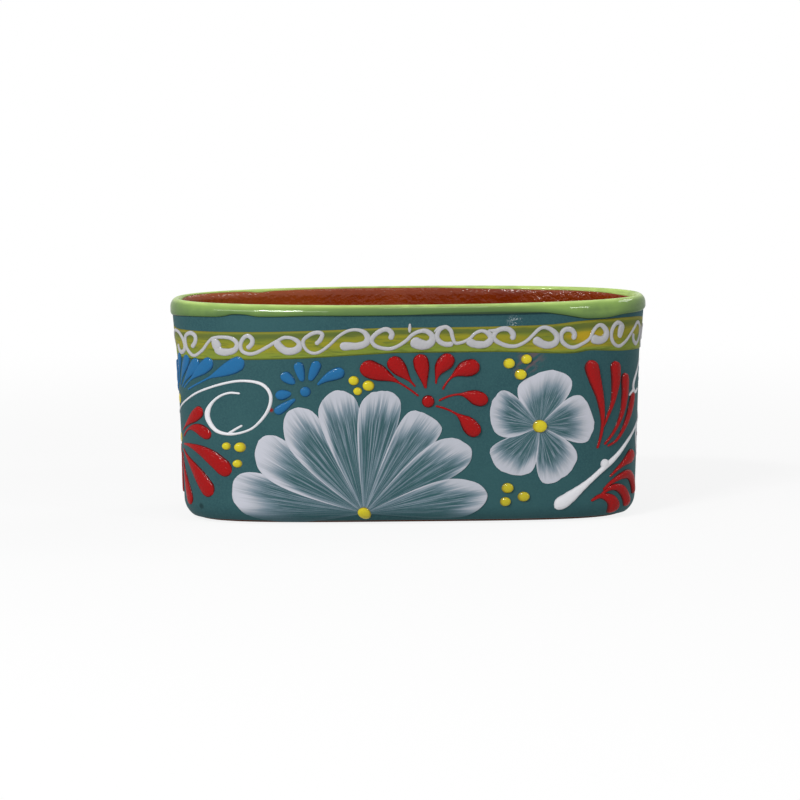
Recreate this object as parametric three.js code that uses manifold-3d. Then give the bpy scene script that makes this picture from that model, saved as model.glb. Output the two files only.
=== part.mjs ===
// An oval ceramic flower pot with trailed-slip flowers: a fired clay body, its coats of slip and
// glaze, and the dots, strokes, petals and lines that are laid on them one by one.
// Millimetres, +Z up. The origin is on the shelf under the middle of the pot, +X runs along its
// length and the front faces -Y. The back carries the front's pattern, turned half way round.
import * as THREE from "three";
import Module from "manifold-3d";

const wasm = await Module();
wasm.setup();

// Driving dimensions.
const LENGTH = 280; // over the glazed lip
const DEPTH = 128; // over the glazed lip
const HEIGHT = 128;
const WALL_THICKNESS = 4.5;
const FLOOR_THICKNESS = 6;
const DRAIN_HOLE_DIAMETER = 14;
const HEEL_RADIUS = 11; // outside, between the wall and the foot
const COVE_RADIUS = 9; // inside, between the wall and the floor
const SIDE_LEAN = 0.04; // how far each side leans out for each millimetre of height
const LIP_FLARE = 1.5; // how far the lip turns out from the leaning side
const FLARE_HEIGHT = 30; // the part of the wall that turns out
const FLARE_DROP = 6; // from the top of the lip down to the end of the flare
const LIP_ROUND = 4.5; // height over which the lip is rounded
const LIP_SQUARENESS = 2.25; // exponent of the oval: 2 is an ellipse, and more is squarer
const FOOT_SQUARENESS = 3.8;

// Coats, from the clay outwards, with the clearance that parts each from the one below it.
const CLEARANCE = 0.3;
const SLIP_COAT = 0.5;
const LIP_GLAZE = 0.8;
const LINING_GLAZE = 0.5;
const BAND_PAINT = 0.4;
const BARE_FOOT_ANGLE = 33; // degrees of the heel, up from the shelf, that the coat leaves bare
const LIP_GLAZE_INSIDE = 7; // how far the lip's glaze runs down inside
const LIP_GLAZE_OUTSIDE = 6.3; // and outside, on average

// Trailed and brushed slip.
const SEAT = 0.4; // from a coat to what is trailed on it
const STROKE_RISE = 1.1;
const TAIL_RISE = 0.5;
const DOT_RISE = 1.5;
const LINE_RISE = 0.9;
const PETAL_FILM = 0.4;

// The painted band and the scrolls that are trailed along it.
const BAND_DROP = 13.9; // from the top of the lip down to the band, on average
const BAND_WIDTH = 16.3;
const WANDER = 1.5; // how far a hand-painted edge strays as it goes round
const SCROLLS = 18; // round the whole band

// The pattern is drawn on a sheet ruled in squares, and the front and the back take one each.
const FACE_SQUARES = 336;

const COLOURS = {
  clay: { color: 0xa9623f, roughness: 0.85 },
  slip: { color: 0x305656, roughness: 0.75 },
  lipGlaze: { color: 0x7fa94f, roughness: 0.2 },
  lining: { color: 0x74300f, roughness: 0.25 },
  band: { color: 0x98a02c, roughness: 0.65 },
  white: { color: 0xc9cad2, roughness: 0.45 },
  petal: { color: 0x9fadb8, roughness: 0.8 },
  red: { color: 0xa30f14, roughness: 0.25 },
  blue: { color: 0x2a6a9a, roughness: 0.4 },
  yellow: { color: 0xd0bc2c, roughness: 0.4 },
};

// Each coat's inner and outer distance from the clay.
const COAT_OUTER = CLEARANCE + SLIP_COAT;
const OVER_COAT = COAT_OUTER + CLEARANCE;
const GLAZE_OUTER = OVER_COAT + LIP_GLAZE;
const BAND_OUTER = OVER_COAT + BAND_PAINT;
const ON_COAT = COAT_OUTER + SEAT;
const ON_BAND = BAND_OUTER + SEAT;

const CLAY_TOP = HEIGHT - CLEARANCE - LIP_GLAZE;
const FLARE_TOP = HEIGHT - FLARE_DROP;
const FLARE_FOOT = FLARE_TOP - FLARE_HEIGHT;
const WIDEST = CLAY_TOP - LIP_ROUND;
const LIP_HALF_LENGTH = LENGTH / 2 - GLAZE_OUTER;
const GLAZE_INNER_EDGE = HEIGHT - LIP_GLAZE_INSIDE;

// Half the clay's outside length at a height.
function halfLength(up) {
  const flare = THREE.MathUtils.smoothstep(up, FLARE_FOOT, FLARE_TOP);
  return LIP_HALF_LENGTH - SIDE_LEAN * (WIDEST - up) - LIP_FLARE * (1 - flare);
}

// The point of the wall in one direction from the pot's axis, so far out from the clay.
function wallPoint(bearing, up, out) {
  const halfLong = halfLength(up) + out;
  const halfDeep = halfLong - (LENGTH - DEPTH) / 2;
  const squareness = THREE.MathUtils.lerp(FOOT_SQUARENESS, LIP_SQUARENESS, up / HEIGHT);
  const cosine = Math.cos(bearing);
  const sine = Math.sin(bearing);
  const sum = Math.abs(cosine / halfLong) ** squareness + Math.abs(sine / halfDeep) ** squareness;
  const reach = sum ** (-1 / squareness);
  return new THREE.Vector3(reach * cosine, reach * sine, up);
}

// How far out a coat on the outside lies at a height, on the round heel or above it.
function coatOut(up, layer) {
  if (up >= HEEL_RADIUS) return layer;
  return Math.sqrt((HEEL_RADIUS + layer) ** 2 - (HEEL_RADIUS - up) ** 2) - HEEL_RADIUS;
}

// The ruler turns a distance round the wall, from the middle of the front, into a bearing.
const RULER_STEPS = 1440;
const FRONT = -Math.PI / 2;
const ruler = [0];
for (let step = 1; step <= RULER_STEPS; step++) {
  const [from, to] = [step - 1, step].map((mark) =>
    wallPoint(FRONT + (2 * Math.PI * mark) / RULER_STEPS, HEIGHT / 2, 0),
  );
  ruler.push(ruler[step - 1] + from.distanceTo(to));
}
const GIRTH = ruler[RULER_STEPS];

function bearingAt(across) {
  const turns = across / (2 * FACE_SQUARES);
  const distance = (turns - Math.floor(turns)) * GIRTH;
  let mark = Math.floor((distance / GIRTH) * RULER_STEPS);
  while (mark > 0 && ruler[mark] > distance) mark -= 1;
  while (mark < RULER_STEPS - 1 && ruler[mark + 1] < distance) mark += 1;
  const share = (distance - ruler[mark]) / (ruler[mark + 1] - ruler[mark]);
  return FRONT + (2 * Math.PI * (mark + share)) / RULER_STEPS;
}

function acrossAt(bearing) {
  const turns = (bearing - FRONT) / (2 * Math.PI);
  const marks = (turns - Math.floor(turns)) * RULER_STEPS;
  const mark = Math.min(Math.floor(marks), RULER_STEPS - 1);
  const distance = THREE.MathUtils.lerp(ruler[mark], ruler[mark + 1], marks - mark);
  return (distance / GIRTH) * 2 * FACE_SQUARES;
}

// The place of a point of the sheet on the bare clay.
function clayPoint(across, up) {
  const height = up * SQUARE_HEIGHT;
  return wallPoint(bearingAt(across), height, coatOut(height, 0));
}

// The same place, lifted square off the wall.
function lifted(across, up, lift) {
  const nudge = 0.25;
  const along = clayPoint(across + nudge, up).sub(clayPoint(across - nudge, up));
  const upward = clayPoint(across, up + nudge).sub(clayPoint(across, up - nudge));
  const outward = along.cross(upward).normalize();
  return clayPoint(across, up).addScaledVector(outward, lift);
}

// One closed solid through sections that have the same number of points, each turning the same way
// round the path; closed joins the last section to the first, and otherwise both ends are capped.
// Each four-sided patch is folded along its shorter diagonal, so that neighbouring coats fold alike.
function loft(sections, closed) {
  const size = sections[0].length;
  const corners = sections.flat();
  const faces = [];
  const spans = closed ? sections.length : sections.length - 1;
  for (let i = 0; i < spans; i++) {
    const near = i * size;
    const far = ((i + 1) % sections.length) * size;
    for (let j = 0; j < size; j++) {
      const next = (j + 1) % size;
      const [a, b, c, d] = [near + j, near + next, far + next, far + j];
      if (corners[a].distanceTo(corners[c]) < corners[b].distanceTo(corners[d])) {
        faces.push(a, b, c, a, c, d);
      } else {
        faces.push(a, b, d, b, c, d);
      }
    }
  }
  const last = (sections.length - 1) * size;
  for (let low = 0, high = size - 1; !closed && low + 1 < high; low++, high--) {
    faces.push(low, high, low + 1);
    faces.push(last + low, last + low + 1, last + high);
    if (low + 1 < high - 1) {
      faces.push(low + 1, high, high - 1);
      faces.push(last + low + 1, last + high - 1, last + high);
    }
  }
  const points = corners.flatMap((corner) => corner.toArray());
  const geometry = new THREE.BufferGeometry();
  geometry.setAttribute("position", new THREE.Float32BufferAttribute(points, 3));
  geometry.setIndex(faces);
  return geometry;
}

// Pieces that run into each other, as one solid.
function joined(geometries) {
  const solids = geometries.map(
    (geometry) =>
      new wasm.Manifold(
        new wasm.Mesh({
          numProp: 3,
          vertProperties: geometry.getAttribute("position").array,
          triVerts: new Uint32Array(geometry.getIndex().array),
        }),
      ),
  );
  const mesh = solids.reduce((all, solid) => all.add(solid)).getMesh();
  const geometry = new THREE.BufferGeometry();
  geometry.setAttribute("position", new THREE.BufferAttribute(mesh.vertProperties, 3));
  geometry.setIndex(new THREE.BufferAttribute(mesh.triVerts, 1));
  return geometry;
}

// The upright lines that every coat is faceted along, closest together where the oval turns most.
const COLUMNS = 40;
const columns = Array.from({ length: COLUMNS }, (_, index) => {
  const turn = FRONT + (2 * Math.PI * index) / COLUMNS;
  const bend = 2 / ((LIP_SQUARENESS + FOOT_SQUARENESS) / 2);
  const x = Math.sign(Math.cos(turn)) * Math.abs(Math.cos(turn)) ** bend * LENGTH;
  const y = Math.sign(Math.sin(turn)) * Math.abs(Math.sin(turn)) ** bend * DEPTH;
  const bearing = Math.atan2(y, x);
  return { turn, bearing, across: acrossAt(bearing) };
});

// Places on a coat's outline: up is a height, or a height that changes on its way round.
const atWall = (out, up) => (column) =>
  wallPoint(column.bearing, typeof up === "number" ? up : up(column.across), out);
const atOutside = (layer, up) => atWall(coatOut(up, layer), up);
const atDrain = (radius, up) => (column) =>
  new THREE.Vector3(radius * Math.cos(column.turn), radius * Math.sin(column.turn), up);

// A coat or body that goes right round: its outline climbs the inside and comes down the outside.
function shell(outline) {
  return loft(
    columns.map((column) => outline.map((place) => place(column))),
    true,
  );
}

// The heel's arc, from the wall down through angles below the level.
const COATED_HEEL = [0, (90 - BARE_FOOT_ANGLE) / 2, 90 - BARE_FOOT_ANGLE];
function heel(layer, degrees) {
  return degrees.map((below) => {
    const angle = THREE.MathUtils.degToRad(below);
    const radius = HEEL_RADIUS + layer;
    return atWall(radius * Math.cos(angle) - HEEL_RADIUS, HEEL_RADIUS - radius * Math.sin(angle));
  });
}

// The inside's arc, from the floor up to the wall, so far in from the clay.
function cove(layer) {
  return [90, 45, 0].map((degrees) => {
    const angle = THREE.MathUtils.degToRad(degrees);
    const radius = COVE_RADIUS - layer;
    const out = radius * Math.cos(angle) - COVE_RADIUS - WALL_THICKNESS;
    return atWall(out, FLOOR_THICKNESS + COVE_RADIUS - radius * Math.sin(angle));
  });
}

// The lip's round top, from the inside over to the outside.
function lip(inside, over, outside) {
  return [180, 135, 90, 45, 0].map((degrees) => {
    const angle = THREE.MathUtils.degToRad(degrees);
    const cosine = Math.cos(angle);
    const halfWall = WALL_THICKNESS / 2 + (cosine > 0 ? outside : inside);
    const top = CLAY_TOP - LIP_ROUND + (LIP_ROUND + over) * Math.sin(angle);
    return atWall(halfWall * cosine - WALL_THICKNESS / 2, top);
  });
}

// Heights where the wall's outline is given a ring, from the heel to the end of the flare.
const FLARE_LEVELS = [0, 1 / 3, 2 / 3, 1].map((share) => FLARE_FOOT + share * FLARE_HEIGHT);
const SIDE_LEVELS = [1 / 3, 2 / 3].map((share) =>
  THREE.MathUtils.lerp(HEEL_RADIUS, FLARE_FOOT, share),
);
const WALL_LEVELS = [...SIDE_LEVELS, ...FLARE_LEVELS];
const INSIDE_LEVELS = [(FLOOR_THICKNESS + COVE_RADIUS + FLARE_FOOT) / 2, FLARE_FOOT];

// A hand-painted edge that wanders up and down as it goes round.
function drift(height, sway, lean, ripple) {
  return (across) => {
    const angle = (2 * Math.PI * across) / FACE_SQUARES;
    const shift = sway * Math.sin(angle) + lean * Math.cos(angle) + ripple * Math.sin(2 * angle);
    return height + WANDER * shift;
  };
}
const BAND_TOP = drift(HEIGHT - BAND_DROP, 1.3, 0.5, -1.1);
const BAND_FOOT = drift(HEIGHT - BAND_DROP - BAND_WIDTH, 1, 1.5, -0.1);
const SCROLL_LINE = drift(HEIGHT - BAND_DROP - BAND_WIDTH / 2, 1.1, 0.9, -0.7);
const GLAZE_EDGE = drift(HEIGHT - LIP_GLAZE_OUTSIDE, -0.2, 0.9, 0.8);

function clayBody() {
  return shell([
    atDrain(DRAIN_HOLE_DIAMETER / 2, FLOOR_THICKNESS),
    ...cove(0),
    ...INSIDE_LEVELS.map((up) => atWall(-WALL_THICKNESS, up)),
    ...lip(0, 0, 0),
    ...WALL_LEVELS.slice(0, -1).toReversed().map((up) => atOutside(0, up)),
    ...heel(0, [...COATED_HEEL, 90]),
    atDrain(DRAIN_HOLE_DIAMETER / 2, 0),
  ]);
}

function slipCoat() {
  return shell([
    ...heel(CLEARANCE, COATED_HEEL).toReversed(),
    ...WALL_LEVELS.map((up) => atOutside(CLEARANCE, up)),
    ...WALL_LEVELS.toReversed().map((up) => atOutside(COAT_OUTER, up)),
    ...heel(COAT_OUTER, COATED_HEEL),
  ]);
}

function lining() {
  const near = WALL_THICKNESS + CLEARANCE;
  const far = near + LINING_GLAZE;
  const levels = [...INSIDE_LEVELS, GLAZE_INNER_EDGE - CLEARANCE];
  const drain = DRAIN_HOLE_DIAMETER / 2 + LINING_GLAZE;
  return shell([
    atDrain(drain, FLOOR_THICKNESS + CLEARANCE + LINING_GLAZE),
    ...cove(CLEARANCE + LINING_GLAZE),
    ...levels.map((up) => atWall(-far, up)),
    ...levels.toReversed().map((up) => atWall(-near, up)),
    ...cove(CLEARANCE).toReversed(),
    atDrain(drain, FLOOR_THICKNESS + CLEARANCE),
  ]);
}

function lipGlaze() {
  const inner = CLEARANCE + LIP_GLAZE;
  return shell([
    atWall(-WALL_THICKNESS - inner, GLAZE_INNER_EDGE),
    ...lip(inner, inner, GLAZE_OUTER),
    atWall(GLAZE_OUTER, GLAZE_EDGE),
    atWall(OVER_COAT, GLAZE_EDGE),
    ...lip(CLEARANCE, CLEARANCE, OVER_COAT).toReversed(),
    atWall(-WALL_THICKNESS - CLEARANCE, GLAZE_INNER_EDGE),
  ]);
}

function band() {
  const edges = [0, 0.5, 1].map(
    (share) => (across) => THREE.MathUtils.lerp(BAND_FOOT(across), BAND_TOP(across), share),
  );
  return shell([
    ...edges.map((edge) => atWall(OVER_COAT, edge)),
    ...edges.toReversed().map((edge) => atWall(BAND_OUTER, edge)),
  ]);
}

// The marks of a line, with more between those that lie far apart, and its heading at each.
const LONGEST_STEP = 8;
function stations(marks) {
  const spine = new THREE.CatmullRomCurve3(
    marks.map((mark) => new THREE.Vector3(...mark)),
    false,
    "centripetal",
  );
  const shares = marks.slice(1).flatMap((mark, index) => {
    const length = Math.hypot(mark[0] - marks[index][0], mark[1] - marks[index][1]);
    const pieces = Math.ceil(length / LONGEST_STEP);
    return Array.from({ length: pieces }, (_, piece) => index + (piece + 1) / pieces);
  });
  return [0, ...shares].map((share) => {
    const { x, y } = spine.getTangent(share / (marks.length - 1));
    const along = new THREE.Vector2(x, y).normalize();
    return { place: spine.getPoint(share / (marks.length - 1)), along };
  });
}

// A trailed line through marks on the sheet, each [across, up, half width]. Its underside bends
// in the middle where it has to follow the round heel.
function trail(marks, seat, rise, bent = false) {
  const foot = bent ? [-1, 0, 1] : [-1, 1];
  const crest = [0.5, -0.5];
  const sections = stations(marks).map(({ place: { x: across, y: up, z: half }, along }) => {
    const place = (share, lift) =>
      lifted(across - along.y * share * half, up + along.x * share * half, lift);
    const top = seat + THREE.MathUtils.clamp(half, TAIL_RISE, rise);
    return [
      ...foot.map((share) => place(share, seat)),
      ...crest.map((share) => place(share, top)),
    ];
  });
  return loft(sections, false);
}

// A domed dot of slip.
function dot([across, up], radius, seat) {
  const rings = [
    [1, 0],
    [0.85, 0.6],
    [0.4, 1],
  ];
  const sides = 7;
  const sections = rings.map(([share, rise]) =>
    Array.from({ length: sides }, (_, index) => {
      const angle = (2 * Math.PI * index) / sides;
      const away = radius * share;
      const lift = seat + rise * DOT_RISE;
      return lifted(across + away * Math.cos(angle), up + away * Math.sin(angle), lift);
    }),
  );
  return loft(sections, false);
}

// The marks of a comma: a tail that leaves the hub and swells from its neck into a round head.
function comma([across, up], { angle, neck, reach, head, bow = 0 }) {
  const turn = THREE.MathUtils.degToRad(angle);
  const along = (distance) => {
    const share = THREE.MathUtils.clamp((distance - neck) / (reach - neck), 0, 1);
    const aside = 4 * bow * share * (1 - share);
    return [
      across + distance * Math.cos(turn) - aside * Math.sin(turn),
      up + distance * Math.sin(turn) + aside * Math.cos(turn),
    ];
  };
  const tail = 0.7;
  return [
    [...along(tail), tail],
    [...along(neck + 0.4 * (reach - neck)), Math.max(0.5 * head, tail)],
    [...along(reach - 0.2 * head), head],
    [...along(reach + 0.8 * head), 0.5 * head],
  ];
}

function fan(hub, strokes) {
  return strokes.map((stroke) => trail(comma(hub, stroke), ON_COAT, STROKE_RISE));
}

const NOTCH = 0.8; // how far out two petals part, as a share of their reach
const WIDEST_RING = 12; // of the rings that make the film follow the wall

// A flower brushed in one film: petals with round ends, each { angle, reach }, about a centre.
function petalFilm(centre, petals, { from, to, lobe, inner, perPetal }) {
  const edge = (angle) =>
    petals.reduce((furthest, petal) => {
      const off = THREE.MathUtils.degToRad(angle - petal.angle);
      const middle = petal.reach - lobe;
      const spare = lobe ** 2 - (middle * Math.sin(off)) ** 2;
      const ahead = Math.cos(off) > 0 && spare > 0;
      return ahead ? Math.max(furthest, middle * Math.cos(off) + Math.sqrt(spare)) : furthest;
    }, 0);
  const whole = to - from === 360;
  const steps = perPetal * petals.length;
  const rings = Math.ceil((petals[0].reach - inner) / WIDEST_RING);
  const shares = Array.from({ length: rings + 1 }, (_, ring) => 1 - ring / rings);
  const sections = Array.from({ length: whole ? steps : steps + 1 }, (_, index) => {
    const angle = from + ((to - from) * index) / steps;
    const turn = THREE.MathUtils.degToRad(angle);
    const outer = Math.max(edge(angle), NOTCH * petals[0].reach);
    const place = (share, lift) => {
      const away = inner + (outer - inner) * share;
      return lifted(centre[0] + away * Math.cos(turn), centre[1] + away * Math.sin(turn), lift);
    };
    return [
      ...shares.map((share) => place(share, ON_COAT)),
      ...shares.toReversed().map((share) => place(share, ON_COAT + PETAL_FILM)),
    ];
  });
  return loft(sections, whole);
}

// The pattern of one face, in the sheet's squares.
const LARGE_FLOWER = { centre: [-26.7, 6.5], dot: 3.8, lobe: 13, inner: 5.5, perPetal: 4 };
const LARGE_REACHES = [73, 72, 68, 73, 74, 73, 74, 77];
const LARGE_PETALS = LARGE_REACHES.map((reach, index) => ({ angle: 9 + 23 * index, reach }));
const SMALL_FLOWER = { centre: [75.7, 56.2], dot: 3.8, lobe: 13.5, inner: 5.5, perPetal: 6 };
const SMALL_PETALS = [
  { angle: -136, reach: 32 },
  { angle: -68, reach: 34 },
  { angle: 8, reach: 31 },
  { angle: 84, reach: 32 },
  { angle: 159, reach: 29 },
];
const MIDDLE_FAN = {
  hub: [11, 72],
  dot: 3.6,
  strokes: [
    { angle: 150, neck: 6, reach: 38, head: 4.6, bow: -2 },
    { angle: 130, neck: 11, reach: 28.5, head: 4 },
    { angle: 100, neck: 7.5, reach: 23.5, head: 4 },
    { angle: 66, neck: 11, reach: 25.5, head: 4, bow: 0.5 },
    { angle: 39, neck: 10.5, reach: 31, head: 4, bow: 1.5 },
    { angle: 2, neck: 6, reach: 29, head: 4, bow: 3 },
    { angle: -33, neck: 5, reach: 30.5, head: 4, bow: 2.5 },
  ],
};
const ROSETTE = {
  hub: [-59, 78],
  dot: 3,
  strokes: [
    { angle: 215, neck: 7.5, reach: 19, head: 2.4 },
    { angle: 188, neck: 8.5, reach: 14.5, head: 2.9 },
    { angle: 143, neck: 7.7, reach: 14.2, head: 2.9 },
    { angle: 104, neck: 6, reach: 14.8, head: 2.8 },
    { angle: 66, neck: 6.8, reach: 16.4, head: 2.9 },
    { angle: 29, neck: 8, reach: 22.4, head: 3.2 },
  ],
};
const BLUE_FAN = {
  hub: [-151, 70],
  dot: 3.5,
  strokes: [
    { angle: 25, neck: 22, reach: 52, head: 3.4 },
    { angle: 38, neck: 16, reach: 34.5, head: 3.2 },
    { angle: 49, neck: 10, reach: 28, head: 3 },
    { angle: 66, neck: 9, reach: 23, head: 3 },
    { angle: 88, neck: 9, reach: 22, head: 3 },
    { angle: 110, neck: 9, reach: 22.5, head: 3 },
    { angle: 132, neck: 9, reach: 23.5, head: 3 },
    { angle: 152, neck: 9, reach: 25, head: 3 },
  ],
};
const LEFT_FAN = {
  hub: [-151, 47],
  dot: 3.5,
  strokes: [
    { angle: 39, neck: 9, reach: 28.5, head: 3 },
    { angle: 7, neck: 9, reach: 31, head: 3.3, bow: 3.5 },
    { angle: -19, neck: 9, reach: 46, head: 4, bow: 2.5 },
    { angle: -40, neck: 9, reach: 42, head: 3.8, bow: 1.5 },
    { angle: -65, neck: 9, reach: 37, head: 3.4 },
    { angle: -90, neck: 9, reach: 33, head: 3.2 },
    { angle: -116, neck: 9, reach: 33, head: 3.2 },
    { angle: -143, neck: 9, reach: 32, head: 3.2 },
    { angle: -170, neck: 9, reach: 28.5, head: 3.2 },
  ],
};
const UPPER_SPRAY = [
  [[109, 41, 0.7], [113.3, 56.4, 1.2], [113.3, 75, 3], [109, 87.5, 4.4], [107.8, 91.5, 2.2]],
  [[113.4, 54, 0.7], [120.5, 67.2, 1.3], [125, 85.5, 3.1], [125.5, 88.5, 1.4]],
  [[109, 41, 0.7], [116, 44.5, 0.7], [128.8, 62.4, 1.4], [132.3, 78, 2.6], [132.6, 80.5, 1.2]],
  [[109, 41, 0.7], [119, 42, 0.7], [128.5, 51.5, 1.2], [136.5, 62, 2.2], [138.5, 66, 1]],
];
const LOWER_SPRAY = [
  [[106, 12.5, 0.7], [117.4, 26.2, 0.7], [128, 31.2, 1.5], [136.5, 34.6, 3], [138.5, 35.8, 1.6]],
  [[106, 12.5, 0.7], [114.5, 19.4, 0.7], [127, 24.6, 1.5], [137, 22.8, 2.4], [140.8, 15.2, 2.6]],
  [[106, 12.5, 0.7], [112.3, 16.4, 0.7], [121.5, 18.6, 1.6], [128, 14.5, 2.8], [132, 8.8, 2.6]],
  [[106, 12.5, 0.9], [112.7, 14.4, 1.4], [118, 11, 3], [122, 7, 3.6]],
];
const VINE = [
  [
    [84.5, 8.8, 1.8], [87.5, 10.8, 3.2], [98, 18.2, 2.2], [112, 29.6, 1.6], [124, 37.8, 1.5],
    [135, 46, 1.3], [148, 53, 1], [165, 58, 0.8], [181, 62.5, 0.8], [196, 69.5, 0.8],
    [210, 76.4, 0.9], [226.5, 81.8, 1], [239.5, 83.8, 1.1], [251, 82, 1.2], [256.3, 75.5, 1.3],
    [254.5, 66.6, 1.3], [247.5, 58, 1.1], [240.5, 54.2, 1.1], [231.5, 52.6, 1.3],
    [223, 54.4, 1.6], [217.5, 60.2, 2.2], [216.8, 64.8, 2.3], [220, 70.4, 1.4],
    [225, 74.6, 1], [231, 76.6, 0.9], [237.5, 76.4, 0.7],
  ],
  [[112, 29.6, 1.2], [113.4, 32, 2.1], [114.2, 34, 1.2]],
  [[147.5, 52.7, 0.8], [145.8, 44, 0.7], [150.5, 34, 0.6]],
  [[231, 52.8, 0.8], [239.5, 58, 0.6]],
];
const HOOK = [
  [[156, 91, 0.6], [150.5, 86, 0.8], [143.5, 79.5, 1], [141.5, 75, 1.1], [145, 72, 1], [150, 74, 0.7]],
  [[142, 74, 0.9], [136, 71, 0.7]],
];
const TRIOS = {
  left: [[-105.9, 45.6, 2.3], [-97.5, 45.2, 3], [-99.1, 35.6, 2.4]],
  middle: [[-31, 84.4, 2.8], [-22.7, 81.4, 3.2], [-28.9, 78.2, 2.4]],
  upper: [[57.3, 93.4, 3.1], [67.6, 95.6, 2.9], [64.1, 86.8, 3.2]],
  lower: [[57.2, 20.8, 3.1], [66.4, 15.6, 3], [56.2, 12.8, 2.8]],
};

// How tall a square of the sheet is: the pattern reaches up to just under the band.
const tops = [
  ...[MIDDLE_FAN, ROSETTE, BLUE_FAN, LEFT_FAN].flatMap(({ hub, strokes }) =>
    strokes.flatMap((stroke) => comma(hub, stroke)),
  ),
  ...[...UPPER_SPRAY, ...VINE, ...HOOK, ...Object.values(TRIOS)].flat(),
];
const SQUARE_HEIGHT = Math.min(
  ...tops.map(([across, up, half]) => (BAND_FOOT(across) - CLEARANCE) / (up + half)),
);

// One scroll of the border: how many hundredths of the pitch along, how many hundredths of the
// band's width up, and half the line's width.
const SCROLL = [
  [-2, -6, 1.6], [4, 17, 1.2], [-6, 28, 1], [-15, 6, 1.1], [-10, -28, 1], [5, -36, 0.9],
  [22, -25, 0.8], [49, 22, 0.9], [64, 30, 1], [80, 6, 1.6], [69, -27, 1.8], [50, -12, 1.6],
];
const FIRST_SCROLL = 54; // hundredths of the pitch, from the middle of the front

function scrollBorder() {
  const pitch = (2 * FACE_SQUARES) / SCROLLS;
  const scrolls = Array.from({ length: SCROLLS }, (_, index) => {
    const marks = SCROLL.map(([along, up, half]) => {
      const place = ((FIRST_SCROLL + along) / 100 - index) * pitch;
      const height = SCROLL_LINE(place) + (up / 100) * BAND_WIDTH;
      return [place, height / SQUARE_HEIGHT, half];
    });
    return trail(marks, ON_BAND, LINE_RISE);
  });
  return joined(scrolls);
}

const pot = new THREE.Group();
pot.name = "flower_pot";

function addMesh(name, geometry, finish) {
  const mesh = new THREE.Mesh(geometry, new THREE.MeshStandardMaterial(COLOURS[finish]));
  mesh.name = name;
  pot.add(mesh);
}

addMesh("clay_body", clayBody(), "clay");
addMesh("slip_coat", slipCoat(), "slip");
addMesh("inside_glaze", lining(), "lining");
addMesh("lip_glaze", lipGlaze(), "lipGlaze");
addMesh("border_band", band(), "band");
addMesh("border_scrolls", scrollBorder(), "white");

// One face's pattern. The back's marks lie one face further round.
for (const [side, shift] of [["front", 0], ["back", FACE_SQUARES]]) {
  const move = ([across, ...rest]) => [across + shift, ...rest];
  const strokes = (paths, rise, bent) =>
    joined(paths.map((marks) => trail(marks.map(move), ON_COAT, rise, bent)));
  const named = (name) => `${side}_${name}`;

  for (const [name, flower, petals, span] of [
    ["large", LARGE_FLOWER, LARGE_PETALS, [-1, 181]],
    ["small", SMALL_FLOWER, SMALL_PETALS, [-180, 180]],
  ]) {
    const centre = move(flower.centre);
    const film = petalFilm(centre, petals, { from: span[0], to: span[1], ...flower });
    addMesh(named(`${name}_flower_petals`), film, "petal");
    const spot = dot(centre, flower.dot, ON_COAT + PETAL_FILM);
    addMesh(named(`${name}_flower_centre`), spot, "yellow");
  }
  for (const [name, group, finish] of [
    ["red_fan", MIDDLE_FAN, "red"],
    ["blue_rosette", ROSETTE, "blue"],
  ]) {
    const hub = move(group.hub);
    const spot = dot(hub, group.dot, ON_COAT);
    addMesh(named(name), joined([...fan(hub, group.strokes), spot]), finish);
  }
  for (const [name, group, finish] of [
    ["corner_blue_fan", BLUE_FAN, "blue"],
    ["corner_red_fan", LEFT_FAN, "red"],
  ]) {
    const hub = move(group.hub);
    const over = ON_COAT + STROKE_RISE + CLEARANCE;
    addMesh(named(name), joined(fan(hub, group.strokes)), finish);
    addMesh(named(`${name}_centre`), dot(hub, group.dot, over), "yellow");
  }
  addMesh(named("upper_red_spray"), strokes(UPPER_SPRAY, STROKE_RISE), "red");
  addMesh(named("lower_red_spray"), strokes(LOWER_SPRAY, STROKE_RISE, true), "red");
  addMesh(named("white_vine"), strokes(VINE, LINE_RISE), "white");
  addMesh(named("white_hook"), strokes(HOOK, LINE_RISE), "white");
  for (const [name, spots] of Object.entries(TRIOS)) {
    spots.forEach(([across, up, radius], index) => {
      const place = move([across, up]);
      addMesh(named(`${name}_yellow_dot_${index + 1}`), dot(place, radius, ON_COAT), "yellow");
    });
  }
}

export default pot;
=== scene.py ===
"""An oval ceramic flower pot with trailed-slip flowers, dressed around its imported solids.

Work on the wall is first made flat, on a sheet: across in millimetres round the wall from the
middle of the front, height above the shelf, and lift off the bare clay. A node group then bends
the sheet round the leaning, flaring oval.
"""

import logging
import math
from dataclasses import asdict, dataclass, field
from enum import Enum
from typing import ClassVar, Sequence

import bpy
import numpy as np
from mathutils import Matrix, Vector


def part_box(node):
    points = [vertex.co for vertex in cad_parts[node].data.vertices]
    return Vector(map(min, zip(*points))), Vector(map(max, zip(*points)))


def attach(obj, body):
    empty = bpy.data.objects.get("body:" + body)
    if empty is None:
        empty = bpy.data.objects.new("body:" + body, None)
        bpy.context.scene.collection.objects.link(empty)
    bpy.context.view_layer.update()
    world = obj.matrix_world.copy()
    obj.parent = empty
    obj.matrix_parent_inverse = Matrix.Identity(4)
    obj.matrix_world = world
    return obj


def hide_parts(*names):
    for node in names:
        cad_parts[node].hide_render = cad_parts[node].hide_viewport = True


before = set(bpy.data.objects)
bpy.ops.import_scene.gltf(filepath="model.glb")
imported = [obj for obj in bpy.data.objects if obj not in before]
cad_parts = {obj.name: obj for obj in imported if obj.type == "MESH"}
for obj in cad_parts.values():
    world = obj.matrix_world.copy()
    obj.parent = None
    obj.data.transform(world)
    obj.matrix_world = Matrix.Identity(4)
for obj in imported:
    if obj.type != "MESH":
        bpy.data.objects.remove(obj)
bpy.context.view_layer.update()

LOG = logging.getLogger("flower_pot")

MM = 0.001
BODY = "root"
HALF_ROUND = 336.0

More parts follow.
